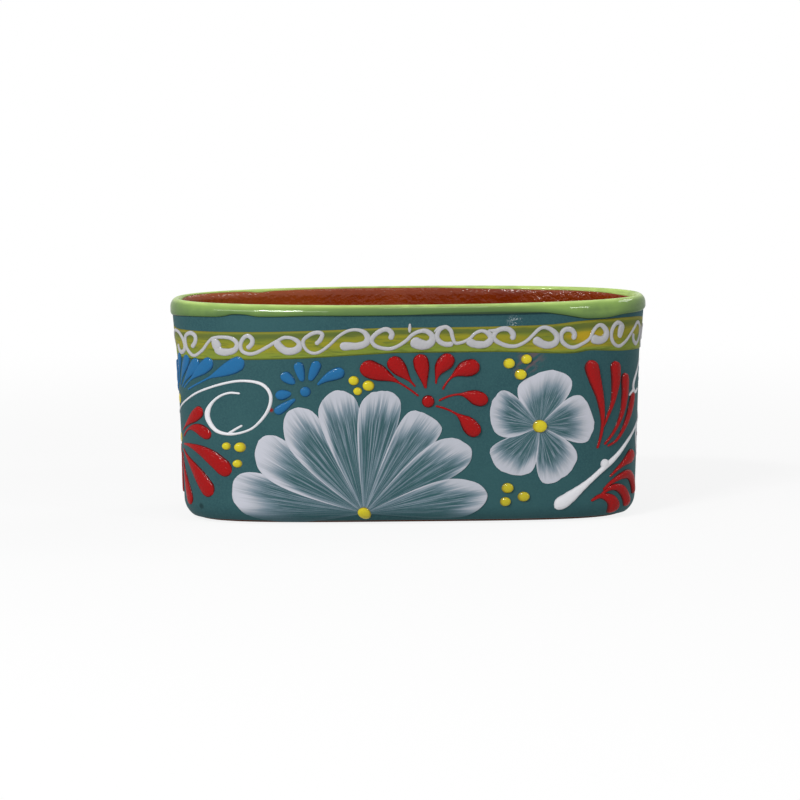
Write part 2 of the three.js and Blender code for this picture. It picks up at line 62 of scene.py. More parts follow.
Mark = tuple[float, ...]
Spot = tuple[Mark, float]
Row = np.ndarray | float


class Slot(Enum):
    """The record's material slots."""

    CLAY = "clay"
    COAT = "teal_slip"
    LINING = "inside_glaze"
    LIP = "lip_glaze"
    BAND = "lime_band"
    WHITE = "white_slip"
    PETAL = "petal_wash"
    RED = "red_slip"
    BLUE = "blue_slip"
    YELLOW = "yellow_slip"


class Wire:
    """One output of a node, which sums can be written with."""

    def __init__(self, graph: "Graph", socket: bpy.types.NodeSocket) -> None:
        """Keep the socket and the graph that it belongs to."""
        self.graph = graph
        self.socket = socket

    def __add__(self, other: "Wire | float") -> "Wire":
        """Return the sum."""
        return self.graph.math("ADD", self, other)

    __radd__ = __add__

    def __sub__(self, other: "Wire | float") -> "Wire":
        """Return the difference."""
        return self.graph.math("SUBTRACT", self, other)

    def __rsub__(self, other: float) -> "Wire":
        """Return a number less this wire."""
        return self.graph.math("SUBTRACT", other, self)

    def __mul__(self, other: "Wire | float") -> "Wire":
        """Return the product."""
        return self.graph.math("MULTIPLY", self, other)

    __rmul__ = __mul__

    def __truediv__(self, other: "Wire | float") -> "Wire":
        """Return the quotient."""
        return self.graph.math("DIVIDE", self, other)

    def __rtruediv__(self, other: float) -> "Wire":
        """Return a number over this wire."""
        return self.graph.math("DIVIDE", other, self)

    def __pow__(self, other: "Wire | float") -> "Wire":
        """Return the power."""
        return self.graph.math("POWER", self, other)

    def __abs__(self) -> "Wire":
        """Return the size without its sign."""
        return self.graph.math("ABSOLUTE", self)


class Graph:
    """Builds one node tree, for shapes or for a material."""

    def __init__(self, tree: bpy.types.NodeTree) -> None:
        """Start on an empty tree."""
        self.tree = tree
        self.entry: bpy.types.Node | None = None
        self.material: bpy.types.Material | None = None

    @classmethod
    def shapes(cls, name: str) -> "Graph":
        """Return a graph for a Geometry Nodes tree."""
        graph = cls(bpy.data.node_groups.new(name, "GeometryNodeTree"))
        graph.entry = graph.tree.nodes.new("NodeGroupInput")
        return graph

    @classmethod
    def paint(cls, name: str) -> "Graph":
        """Return a graph for a new material's tree."""
        material = bpy.data.materials.new(name)
        material.use_nodes = True
        material.node_tree.nodes.clear()
        graph = cls(material.node_tree)
        graph.material = material
        return graph

    def feed(self, socket: bpy.types.NodeSocket, value: object) -> None:
        """Link a wire to a socket, or set the socket's own value.

        Args:
            socket: The input to fill.
            value: A wire, or a number, vector, colour or name.
        """
        if isinstance(value, Wire):
            self.tree.links.new(value.socket, socket)
        elif socket.type == "RGBA" and len(value) == 3:
            socket.default_value = (*value, 1.0)
        else:
            socket.default_value = value

    def add(self, kind: str, inputs: dict[str | int, object], **settings: object) -> bpy.types.Node:
        """Add a node.

        Args:
            kind: The node's type.
            inputs: What goes into its sockets, by name or number.
            settings: The node's own options.

        Returns:
            The node.
        """
        node = self.tree.nodes.new(kind)
        for option, value in settings.items():
            setattr(node, option, value)
        for key, value in inputs.items():
            self.feed(node.inputs[key], value)
        return node

    def out(
        self, kind: str, inputs: dict[str | int, object], output: str | int = 0, **settings: object
    ) -> Wire:
        """Add a node and return one of its outputs as a wire.

        Args:
            kind: The node's type.
            inputs: What goes into its sockets.
            output: The output's name or number.
            settings: The node's own options.

        Returns:
            The wire.
        """
        return Wire(self, self.add(kind, inputs, **settings).outputs[output])

    def inlet(self, name: str, value: float | int | None = None, kind: str = "Float") -> Wire:
        """Add a named input to a tree of shapes.

        Args:
            name: The input's name.
            value: Its default, where it has one.
            kind: The kind of socket.

        Returns:
            The wire that carries it.
        """
        socket = self.tree.interface.new_socket(name, in_out="INPUT", socket_type=f"NodeSocket{kind}")
        if value is not None:
            socket.default_value = value
        return Wire(self, self.entry.outputs[name])

    def outlet(self, geometry: Wire) -> bpy.types.NodeTree:
        """Send a geometry out of the tree, and return the tree."""
        self.tree.interface.new_socket("Geometry", in_out="OUTPUT", socket_type="NodeSocketGeometry")
        self.add("NodeGroupOutput", {0: geometry})
        return self.tree

    def math(self, operation: str, *values: "Wire | float") -> Wire:
        """Return the result of a Math node."""
        return self.out("ShaderNodeMath", dict(enumerate(values)), operation=operation)

    def vector(self, x: "Wire | float", y: "Wire | float", z: "Wire | float") -> Wire:
        """Return a vector made of three numbers."""
        return self.out("ShaderNodeCombineXYZ", {0: x, 1: y, 2: z})

    def split(self, vector: Wire) -> tuple[Wire, Wire, Wire]:
        """Return a vector's three numbers."""
        node = self.add("ShaderNodeSeparateXYZ", {0: vector})
        return tuple(Wire(self, output) for output in node.outputs)

    def scaled(self, vector: Wire, *by: float) -> Wire:
        """Return a vector scaled by three numbers."""
        return self.out("ShaderNodeVectorMath", {0: vector, 1: by}, operation="MULTIPLY")

    def ramp(self, value: Wire, low: float, high: float, start: float = 0.0, end: float = 1.0) -> Wire:
        """Return a value eased from start to end as it goes from low to high."""
        inputs = {"Value": value, 1: low, 2: high, 3: start, 4: end}
        return self.out("ShaderNodeMapRange", inputs, interpolation_type="SMOOTHSTEP")

    def noise(self, where: Wire, scale: float, detail: float = 2.0, rough: float = 0.5) -> Wire:
        """Return noise from 0 to 1 at a place."""
        inputs = {"Vector": where, "Scale": scale, "Detail": detail, "Roughness": rough}
        return self.out("ShaderNodeTexNoise", inputs)

    def blend(self, share: Wire, first: object, second: object) -> Wire:
        """Return one colour changed into another by a share."""
        inputs = {0: share, 6: first, 7: second}
        return self.out("ShaderNodeMix", inputs, 2, data_type="RGBA", clamp_factor=True)

    def layers(self, colour: object, *layers: tuple[Wire, Mark]) -> Wire:
        """Return a colour with others laid over it in turn, each by its share."""
        for share, laid in layers:
            colour = self.blend(share, colour, laid)
        return colour

    def read(self, name: str) -> Wire:
        """Return a number that the mesh carries, in a tree of shapes or of a material."""
        if self.entry is None:
            return self.out("ShaderNodeAttribute", {}, "Fac", attribute_name=name)
        return self.out("GeometryNodeInputNamedAttribute", {"Name": name}, data_type="FLOAT")

    def store(self, geometry: Wire, name: str, value: Wire, domain: str = "POINT") -> Wire:
        """Return a geometry that carries a named number."""
        inputs = {"Geometry": geometry, "Name": name, "Value": value}
        return self.out("GeometryNodeStoreNamedAttribute", inputs, domain=domain)

    def here(self) -> Wire:
        """Return the place on the object, in a material's tree."""
        return self.out("ShaderNodeTexCoord", {}, "Object")

    def place(self) -> Wire:
        """Return the place of each point, in a tree of shapes."""
        return self.out("GeometryNodeInputPosition", {})

    def moved(self, geometry: Wire, place: Wire) -> Wire:
        """Return a geometry with each point at a new place."""
        return self.out("GeometryNodeSetPosition", {"Geometry": geometry, "Position": place})


@dataclass(frozen=True)
class Wall:
    """The pot's oval wall in millimetres, as the solids have it."""

    length: float
    depth: float
    height: float
    thickness: float = 4.5
    floor: float = 6.0
    drain: float = 7.0
    heel: float = 11.0
    cove: float = 9.0
    side_lean: float = 0.04
    lip_flare: float = 1.5
    flare_foot: float = 92.0
    flare_top: float = 122.0
    clay_top: float = 126.9
    lip_round: float = 4.5
    lip_squareness: float = 2.25
    foot_squareness: float = 3.8
    coat: float = 0.8
    glaze: float = 1.9
    lining: float = 0.5
    sunk: float = 0.3
    face: float = HALF_ROUND
    columns: int = 640

    @classmethod
    def packed(cls) -> "Wall":
        """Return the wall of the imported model."""
        low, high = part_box("lip_glaze")
        return cls((high.x - low.x) / MM, (high.y - low.y) / MM, high.z / MM)

    @property
    def widest(self) -> float:
        """The height where the lip is widest."""
        return self.clay_top - self.lip_round

    def bend(self) -> bpy.types.NodeTree:
        """Build the node group that bends flat work round the wall.

        Returns:
            The group, whose geometry's points lie at (across, height, lift) in millimetres.
        """
        g = Graph.shapes("bend_round_the_wall")
        flat = g.inlet("Geometry", kind="Geometry")
        length = g.inlet("Length", self.length)
        depth = g.inlet("Depth", self.depth)
        height = g.inlet("Height", self.height)
        lean = g.inlet("Side lean", self.side_lean)
        flare = g.inlet("Lip flare", self.lip_flare)
        heel = g.inlet("Heel radius", self.heel)
        drain = g.inlet("Drain radius", self.drain)
        round_heel = g.inlet("Follows heel", 1.0)
        uneven = g.inlet("Unevenness", 0.5)

        lip_half = length / 2 - self.glaze
        spread = (length - depth) / 2

        def on_oval(bearing: Wire, up: "Wire | float", out: "Wire | float") -> Wire:
            """Return the wall's place in one direction, so far out from the clay."""
            flared = g.ramp(up, self.flare_foot, self.flare_top) if isinstance(up, Wire) else 0.0
            half_long = lip_half - lean * (self.widest - up) - flare * (1 - flared) + out
            half_deep = half_long - spread
            fuller = self.foot_squareness - self.lip_squareness
            squareness = self.foot_squareness - fuller * (up / height)
            cosine = g.math("COSINE", bearing)
            sine = g.math("SINE", bearing)
            total = abs(cosine / half_long) ** squareness + abs(sine / half_deep) ** squareness
            reach = total ** (-1 / squareness)
            return g.vector(reach * cosine, reach * sine, up)

        steps = 1440
        turn = g.out("GeometryNodeInputIndex", {}) * (2 * math.pi / steps) - math.pi / 2
        ring = g.out("GeometryNodeCurvePrimitiveCircle", {"Resolution": steps})
        ruler = g.moved(ring, on_oval(turn, height / 2, 0.0))

        across, up, lift = g.split(g.place())
        share = g.math("FRACT", across / (2 * self.face))
        inputs = {"Curves": ruler, "Factor": share}
        on_ruler = g.out("GeometryNodeSampleCurve", inputs, "Position", mode="FACTOR")
        x, y, _ = g.split(on_ruler)
        bearing = g.math("ARCTAN2", y, x)

        below = g.math("MAXIMUM", heel - up, 0.0) * round_heel
        arc = g.math("SQRT", g.math("MAXIMUM", (heel + lift) ** 2.0 - below * below, 0.0))
        out = lift + round_heel * (arc - (heel + lift))
        clay = on_oval(bearing, up, 0.0)
        sway = (g.noise(clay, 0.016, 1.0) - 0.5) * uneven * g.ramp(up, 0.0, 30.0)
        wall = on_oval(bearing, up, out + sway)
        hole = g.vector(g.math("COSINE", bearing) * drain, g.math("SINE", bearing) * drain, up)
        inward = g.read("inward")
        mixed = g.out(
            "ShaderNodeMix", {0: inward, 4: wall, 5: hole}, 1, data_type="VECTOR", clamp_factor=True
        )
        return g.outlet(g.moved(flat, g.scaled(mixed, MM, MM, MM)))

    def across(self) -> np.ndarray:
        """Return the places round the wall where the coats have a column of faces."""
        return np.arange(self.columns) * 2 * self.face / self.columns


@dataclass(frozen=True)
class PaintedEdge:
    """A hand-painted edge that wanders up and down round one face, and again round the other."""

    marks: tuple[Mark, ...]
    softness: float = 4.0

    def heights(self, across: np.ndarray) -> np.ndarray:
        """Return the edge's height at places round the wall.

        Args:
            across: The places, in millimetres.

        Returns:
            The heights, softened as a brush would leave them.
        """
        places, heights = np.array(self.marks).T
        steps = np.arange(0.0, HALF_ROUND, 1.0)
        drawn = np.interp(steps, places, heights, period=HALF_ROUND)
        reach = np.minimum(steps, HALF_ROUND - steps)
        brush = np.exp(-0.5 * (reach / self.softness) ** 2)
        soft = np.fft.ifft(np.fft.fft(drawn) * np.fft.fft(brush / brush.sum())).real
        return np.interp(across, steps, soft, period=HALF_ROUND)


def flat_mesh(
    name: str,
    points: np.ndarray,
    edges: Sequence[tuple[int, int]] = (),
    faces: np.ndarray | None = None,
    numbers: dict[str, np.ndarray] | None = None,
) -> bpy.types.Mesh:
    """Make a mesh on the sheet.

    Args:
        name: The mesh's name.
        points: Its points, each (across, height, lift).
        edges: Its loose edges.
        faces: Its four-sided faces.
        numbers: What each point carries besides its place.

    Returns:
        The mesh.
    """
    mesh = bpy.data.meshes.new(name)
    rows = [] if faces is None else faces.tolist()
    mesh.from_pydata(np.asarray(points, dtype=float).tolist(), list(edges), rows)
    for key, values in (numbers or {}).items():
        layer = mesh.attributes.new(key, "FLOAT", "POINT")
        layer.data.foreach_set("value", np.asarray(values, dtype=np.float32).ravel())
    return mesh


def shaped(
    name: str, source: bpy.types.Mesh, tree: bpy.types.NodeTree, sizes: dict[str, object]
) -> bpy.types.Object:
    """Run a tree of shapes over a mesh and keep what comes out as a plain object.

    Args:
        name: The object's name.
        source: The mesh that the tree starts from.
        tree: The tree.
        sizes: Values of its named inputs.

    Returns:
        The finished object, at the origin, with no modifier.
    """
    draft = bpy.data.objects.new(f"{name}_draft", source)
    bpy.context.scene.collection.objects.link(draft)
    modifier = draft.modifiers.new("shape", "NODES")
    modifier.node_group = tree
    for item in tree.interface.items_tree:
        if item.in_out == "INPUT" and item.name in sizes:
            modifier[item.identifier] = sizes[item.name]
    depsgraph = bpy.context.evaluated_depsgraph_get()
    evaluated = draft.evaluated_get(depsgraph)
    mesh = bpy.data.meshes.new_from_object(evaluated, preserve_all_data_layers=True, depsgraph=depsgraph)
    mesh.name = name
    draft.modifiers.remove(modifier)
    bpy.data.objects.remove(draft)
    piece = bpy.data.objects.new(name, mesh)
    bpy.context.scene.collection.objects.link(piece)
    return piece


def paint_of(slot: Slot) -> bpy.types.Material:
    """Return the finished material of a slot."""
    return bpy.data.materials[f"{slot.value}_finish"]


def finish_piece(piece: bpy.types.Object, node: str) -> None:
    """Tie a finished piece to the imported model.

    Args:
        piece: The piece.
        node: The node that it stands for.
    """
    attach(piece, BODY)
    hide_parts(node)
    LOG.info("%s: %d faces", piece.name, len(piece.data.polygons))


def coat_colour(g: Graph) -> tuple[Wire, Wire]:
    """Return the slip coat's colour and its grain, which brushed work thins out to."""
    where = g.here()
    cloudy = g.noise(where, 22.0, 4.0, 0.6)
    grain = g.noise(where, 900.0, 3.0, 0.7)
    fleck = g.noise(where, 2600.0, 1.0)
    colour = g.layers(
        (0.021, 0.067, 0.078),
        (g.ramp(cloudy, 0.35, 0.7), (0.027, 0.084, 0.092)),
        (g.ramp(grain, 0.3, 0.75), (0.031, 0.091, 0.098)),
        (g.ramp(fleck, 0.62, 0.78, 0.0, 0.35), (0.012, 0.045, 0.05)),
    )
    return colour, grain


def near(g: Graph, where: Wire, spot: Spot) -> Wire:
    """Return 1 in the middle of a spot, easing to 0 at its edge.

    Args:
        g: The material's tree.
        where: The place that is seen.
        spot: The spot's middle and its reach, in metres.

    Returns:
        The share of the spot.
    """
    middle, reach = spot
    away = g.out("ShaderNodeVectorMath", {0: where, 1: middle}, "Value", operation="DISTANCE")
    return g.ramp(away, 0.3 * reach, reach, 1.0, 0.0)


@dataclass(frozen=True)
class Finish:
    """A material of the pot, with its gloss."""

    slot: Slot
    roughness: float
    glassy: float = 0.0
    gloss: float = 0.1
    film: float = 0.06

    def paint(self) -> bpy.types.Material:
        """Build the material.

        Returns:
            The material.
        """
        g = Graph.paint(f"{self.slot.value}_finish")
        colour, bump, depth = self.coloured(g)
        normal = g.out("ShaderNodeBump", {"Strength": 1.0, "Distance": depth, "Height": bump})
        shader = {
            "Base Color": colour,
            "Roughness": self.roughness,
            "Normal": normal,
            "Specular IOR Level": self.gloss,
            "Coat Weight": self.glassy,
            "Coat Roughness": self.film,
            "Coat Normal": normal,
        }
        surface = g.out("ShaderNodeBsdfPrincipled", shader)
        g.add("ShaderNodeOutputMaterial", {"Surface": surface})
        return g.material

    def coloured(self, g: Graph) -> tuple[Wire, Wire, float]:
        """Return the colour, the bump's height and the bump's depth in metres."""
        raise NotImplementedError


class CoatFinish(Finish):
    """Matte blue-green slip, with the small marks that handling left on the front."""

    scuff: ClassVar[Spot] = ((0.0615, -0.061, 0.1175), 0.0062)
    smear: ClassVar[Spot] = ((0.0690, -0.058, 0.0945), 0.0130)
    drip: ClassVar[Spot] = ((-0.0795, -0.0555, 0.0672), 0.0019)
    pits: ClassVar[tuple[Spot, ...]] = (
        ((-0.1216, -0.0405, 0.0094), 0.0026), ((-0.1295, -0.0300, 0.1150), 0.0014),
    )

    def coloured(self, g: Graph) -> tuple[Wire, Wire, float]:
        """Return the mottled slip with its grain."""
        colour, grain = coat_colour(g)
        where = g.here()
        chips = g.noise(where, 1000.0, 3.0, 0.7)
        slanted = g.out("ShaderNodeMapping", {0: where, "Rotation": (0.0, 0.6, 0.0)})
        wipe = g.noise(g.scaled(slanted, 0.4, 1.0, 1.6), 260.0, 3.0)
        scuffed = near(g, where, self.scuff) * g.ramp(chips, 0.53, 0.60, 0.0, 0.8)
        smeared = near(g, where, self.smear) * g.ramp(wipe, 0.48, 0.62, 0.0, 0.5)
        marked = g.layers(
            colour,
            (smeared, (0.17, 0.085, 0.095)),
            *((near(g, where, pit) * 0.7, (0.006, 0.020, 0.022)) for pit in self.pits),
            (near(g, where, self.drip), (0.22, 0.003, 0.004)),
            (scuffed, (0.42, 0.47, 0.48)),
        )
        return marked, grain, 0.00005


class ClayFinish(Finish):
    """Bare fired terracotta, with painted shade at the foot."""

    def coloured(self, g: Graph) -> tuple[Wire, Wire, float]:
        """Return sandy orange-brown clay, darkened at the foot as painted shade."""
        where = g.here()
        sand = g.noise(where, 1500.0, 3.0, 0.7)
        cloud = g.noise(where, 30.0, 3.0)
        height = g.split(where)[2]
        colour = g.layers(
            (0.33, 0.105, 0.045),
            (g.ramp(cloud, 0.3, 0.7), (0.43, 0.16, 0.075)),
            (g.ramp(sand, 0.55, 0.75, 0.0, 0.5), (0.20, 0.06, 0.03)),
            # painted shade: the clay turns near black in its lowest few millimetres, for the shadow
            # under the foot
            (g.ramp(height, 0.0012, 0.004, 0.75, 0.0), (0.055, 0.025, 0.020)),
        )
        return colour, sand, 0.0001


class LiningFinish(Finish):
    """Clear glossy glaze over terracotta, with two runs at the right and painted light at the left end.
    """

    runs: ClassVar[tuple[Spot, Spot]] = (
        ((0.095, 0.050, 0.1240), 0.036), ((0.122, 0.016, 0.119), 0.014),
    )

    def coloured(self, g: Graph) -> tuple[Wire, Wire, float]:
        """Return deep red-brown, painted lighter towards the left end, with the pimples that break its
        highlights up.
        """
        where = g.here()
        cloud = g.noise(where, 25.0, 4.0, 0.6)
        speck = g.noise(where, 700.0, 2.0)
        across = g.split(where)[0]
        colour = g.layers(
            (0.175, 0.018, 0.001),
            (g.ramp(cloud, 0.3, 0.7), (0.245, 0.036, 0.003)),
            (g.ramp(speck, 0.6, 0.8, 0.0, 0.4), (0.09, 0.010, 0.001)),
            # painted light: the inside turns lighter and more orange towards its left end, where more
            # light falls
            (g.ramp(across, -0.125, -0.020, 0.85, 0.0), (0.340, 0.078, 0.018)),
        )
        run = near(g, where, self.runs[0]) + near(g, where, self.runs[1])
        return colour, g.noise(where, 330.0, 3.0, 0.6) * (1 + run * 2.2), 0.0005


class LipFinish(Finish):
    """Glossy green glaze that pools above its lower edge and thins out on the crest."""

    def coloured(self, g: Graph) -> tuple[Wire, Wire, float]:
        """Return green by the distance from the glaze's edges, with painted shade at the middle and the
        ends.
        """
        where = g.here()
        edge = g.read("edge")
        crest = g.read("crest")
        cloud = g.noise(where, 45.0, 3.0, 0.55)
        streak = g.noise(g.scaled(where, 0.35, 0.35, 2.5), 260.0, 3.0, 0.6)
        aside = abs(g.split(where)[0])
        # painted shade: the glaze is darkened across the middle of each face and at both ends of the
        # oval
        shaded_ends = g.ramp(aside, 0.118, 0.139, 0.0, 0.55)
        painted_shade = g.math("MAXIMUM", g.ramp(aside, 0.02, 0.11, 0.75, 0.0), shaded_ends)
        thin = g.ramp(crest, 0.40, 0.82) * g.ramp(streak, 0.35, 0.65, 0.6, 1.0)
        rusty = g.ramp(crest, 0.78, 0.92) * g.ramp(streak, 0.60, 0.76, 0.0, 0.25)
        colour = g.layers(
            (0.100, 0.175, 0.056),
            (g.ramp(cloud, 0.32, 0.66), (0.185, 0.305, 0.070)),
            (g.ramp(crest, 0.02, 0.5, 0.0, 0.55), (0.27, 0.43, 0.090)),
            (painted_shade, (0.080, 0.140, 0.052)),
            (g.ramp(edge, 0.4, 4.2, 0.8, 0.0), (0.062, 0.130, 0.030)),
            (thin, (0.50, 0.69, 0.19)),
            (rusty, (0.36, 0.24, 0.08)),
            (g.ramp(edge, 0.05, 0.6, 0.9, 0.0), (0.018, 0.045, 0.018)),
        )
        return colour, g.noise(where, 70.0, 2.0), 0.00045


class BandFinish(Finish):
    """Lime paint laid on with a broad brush, with four pits in the front's band."""

    pits: ClassVar[tuple[Mark, ...]] = (
        (-0.0950, -0.0517, 0.1096), (-0.0580, -0.0602, 0.1108),
        (-0.0194, -0.0634, 0.1118), (-0.1291, -0.0306, 0.1090),
    )
    pit_reach: ClassVar[float] = 0.0018

    def coloured(self, g: Graph) -> tuple[Wire, Wire, float]:
        """Return lime, olive and ochre streaks that run along the band."""
        where = g.here()
        along = g.scaled(where, 0.12, 0.12, 1.0)
        broad = g.noise(along, 130.0, 2.0, 0.5)
        hairs = g.noise(along, 900.0, 2.0, 0.6)
        patch = g.noise(where, 14.0, 2.0)
        share = g.read("share")
        sun = g.read("sun") * g.ramp(broad, 0.34, 0.54)
        lower = g.ramp(share, 0.06, 0.22) * g.ramp(share, 0.90, 0.66)
        sunny = g.math("MAXIMUM", g.ramp(patch, 0.55, 0.72, 0.0, 0.35), sun * lower * 0.85)
        shadow = g.ramp(share, 0.64, 0.80) * g.ramp(share, 0.97, 0.86)
        pits = [near(g, where, (pit, self.pit_reach)) * 0.8 for pit in self.pits]
        colour = g.layers(
            (0.150, 0.185, 0.024),
            (g.ramp(broad, 0.35, 0.62), (0.25, 0.235, 0.018)),
            (g.ramp(share, 0.10, 0.45, 0.6, 0.0), (0.185, 0.250, 0.035)),
            (g.ramp(hairs, 0.50, 0.70, 0.0, 0.7), (0.085, 0.125, 0.024)),
            (sunny, (0.44, 0.29, 0.014)),
            (shadow * 0.75, (0.072, 0.102, 0.028)),
            (g.ramp(share, 0.90, 0.98, 0.0, 0.7), (0.21, 0.18, 0.022)),
            *((pit, (0.008, 0.028, 0.028)) for pit in pits),
        )
        return colour, hairs, 0.00004


@dataclass(frozen=True)
class SlipFinish(Finish):
    """A trailed slip, darker at the foot of the bead, where it thins out and with painted shade."""

    light: Mark = (1.0, 1.0, 1.0)
    dark: Mark = (0.5, 0.5, 0.5)
    peel: float = 0.00022

    def coloured(self, g: Graph) -> tuple[Wire, Wire, float]:
        """Return the slip's colour by the height on the bead, with painted shade at its foot."""
        where = g.here()
        crown = g.read("crown")
        cloud = g.noise(where, 160.0, 3.0, 0.6)
        # darker towards the bead's foot: partly thin slip over the coat, partly painted shade along the
        # edge
        body = g.blend(g.ramp(crown + (cloud - 0.5) * 0.4, 0.02, 0.75), self.dark, self.light)
        shade = g.out("ShaderNodeVectorMath", {0: body, "Scale": g.read("tone")}, operation="SCALE")
        pimples = g.noise(where, 800.0, 2.0)
        return shade, pimples, self.peel


class PetalFinish(Finish):
    """White brushwork that thins out to the coat in streaks."""

    def coloured(self, g: Graph) -> tuple[Wire, Wire, float]:
        """Return bluish white at the tip and the sides, and the coat's colour between streaks."""
        coat, grain = coat_colour(g)
        side = g.read("side")
        radius = g.read("radius")
        number = g.read("number")
        reach = g.read("reach")
        half = g.read("spread") * reach
        rays = g.vector(side * half + number * 37.0, radius * 1.8, number * 3.1)
        broad = g.noise(rays, 0.2, 2.0, 0.6)
        hairs = g.noise(rays, 0.66, 4.0, 0.8)
        load = g.ramp(number, 0.0, 4.0, 0.97, 0.84)
        soaked = g.ramp(number, 0.0, 3.0, 1.15, 0.84)
        depth = g.read("gap") + ((broad - 0.5) * 0.34 + (hairs - 0.5) * 0.6 - side * 0.05) * reach
        tip = g.ramp(depth / (soaked * (9.0 + 0.18 * reach)), 0.04, 0.95, 1.0, 0.0) * load
        lumpy = g.vector(side * half * 0.25 + number * 11.0, radius * 8.0, number * 1.7)
        lumps = g.noise(lumpy, 1.0, 3.0)
        sway = (broad - 0.5) * 2.5 + (lumps - 0.5) * 2.2
        ahead = (1 - side) * half * radius + sway
        behind = (1 + side) * half * radius
        inner = g.ramp(radius, 0.05, 0.7, 0.22, 0.60)
        strong = g.ramp(ahead, 0.1, 1.9, 1.0, 0.0) * inner
        second = g.ramp(abs(ahead - 4.6 * radius - sway), 0.0, 0.9, 0.5, 0.0) * inner
        weak = g.ramp(behind, 0.2, 1.4, 0.6, 0.0) * inner
        faint = g.ramp(hairs, 0.44, 0.64, 0.02, 0.44)
        clear = (1 - tip) * (1 - strong) * (1 - second) * (1 - weak) * (1 - faint)
        height = g.split(g.here())[2]
        cover = (1 - clear) * g.ramp(height, 0.003, 0.011, 0.1, 1.0)
        white = g.blend(g.ramp(cover, 0.15, 0.8), (0.36, 0.44, 0.55), (0.50, 0.51, 0.57))
        return g.blend(cover, coat, white), grain, 0.00005


FINISHES: tuple[Finish, ...] = (
    ClayFinish(Slot.CLAY, 0.85),
    CoatFinish(Slot.COAT, 0.62),
    LiningFinish(Slot.LINING, 0.4, 0.6, 0.0, 0.05),
    LipFinish(Slot.LIP, 0.4, 0.5, 0.0, 0.04),
    BandFinish(Slot.BAND, 0.55),
    SlipFinish(Slot.WHITE, 0.45, 0.1, light=(0.60, 0.60, 0.625), dark=(0.42, 0.42, 0.45)),
    PetalFinish(Slot.PETAL, 0.6),
    SlipFinish(Slot.RED, 0.4, 0.32, 0.0, 0.03, (0.295, 0.0002, 0.0005), (0.056, 0.0005, 0.001), 0.00045),
    SlipFinish(Slot.BLUE, 0.45, 0.3, 0.0, 0.04, (0.012, 0.117, 0.280), (0.006, 0.048, 0.130), 0.00018),
    SlipFinish(Slot.YELLOW, 0.4, 0.6, 0.0, 0.05, (0.56, 0.47, 0.008), (0.27, 0.20, 0.003), 0.00010),
)


@dataclass
class Outline:
    """A closed outline that climbs the inside of the pot and comes down its outside."""

    wall: Wall
    heights: list[np.ndarray] = field(default_factory=list)
    lifts: list[np.ndarray] = field(default_factory=list)
    inward: list[float] = field(default_factory=list)
    extras: dict[str, list[np.ndarray]] = field(default_factory=dict)

    def ring(self, height: Row, lift: Row, inward: float = 0.0, **extras: Row) -> None:
        """Add a ring that goes right round.

        Args:
            height: The ring's height, the same all round or one for each column.
            lift: How far out from the clay it lies.
            inward: Its share of the way from the wall to the drain hole.
            extras: Further numbers that its points carry.
        """
        size = self.wall.columns
        self.heights.append(np.broadcast_to(np.asarray(height, dtype=float), size))
        self.lifts.append(np.broadcast_to(np.asarray(lift, dtype=float), size))
        self.inward.append(inward)
        for key, value in extras.items():
            row = np.broadcast_to(np.asarray(value, dtype=float), size)
            self.extras.setdefault(key, []).append(row)

    def rings(self, heights: np.ndarray, lift: float) -> None:
        """Add a ring at each of several heights, all equally far out."""
        for height in heights:
            self.ring(height, lift)

    def mesh(self, name: str) -> bpy.types.Mesh:
        """Return the outline's flat mesh, closed both ways.

        Args:
            name: The mesh's name.

        Returns:
            The mesh.
        """
        rings, size = len(self.heights), self.wall.columns
        across = np.broadcast_to(self.wall.across(), (rings, size))
        points = np.stack([across, np.array(self.heights), np.array(self.lifts)], axis=-1)
        here = np.arange(rings * size).reshape(rings, size)
        below = np.roll(here, -1, axis=0)
        beside = np.roll(here, -1, axis=1)
        corner = np.roll(below, -1, axis=1)
        faces = np.stack([here, below, corner, beside], axis=-1).reshape(-1, 4)
        numbers = {key: np.array(rows) for key, rows in self.extras.items()}
        numbers["inward"] = np.repeat(np.array(self.inward), size)
        return flat_mesh(name, points.reshape(-1, 3), faces=faces, numbers=numbers)


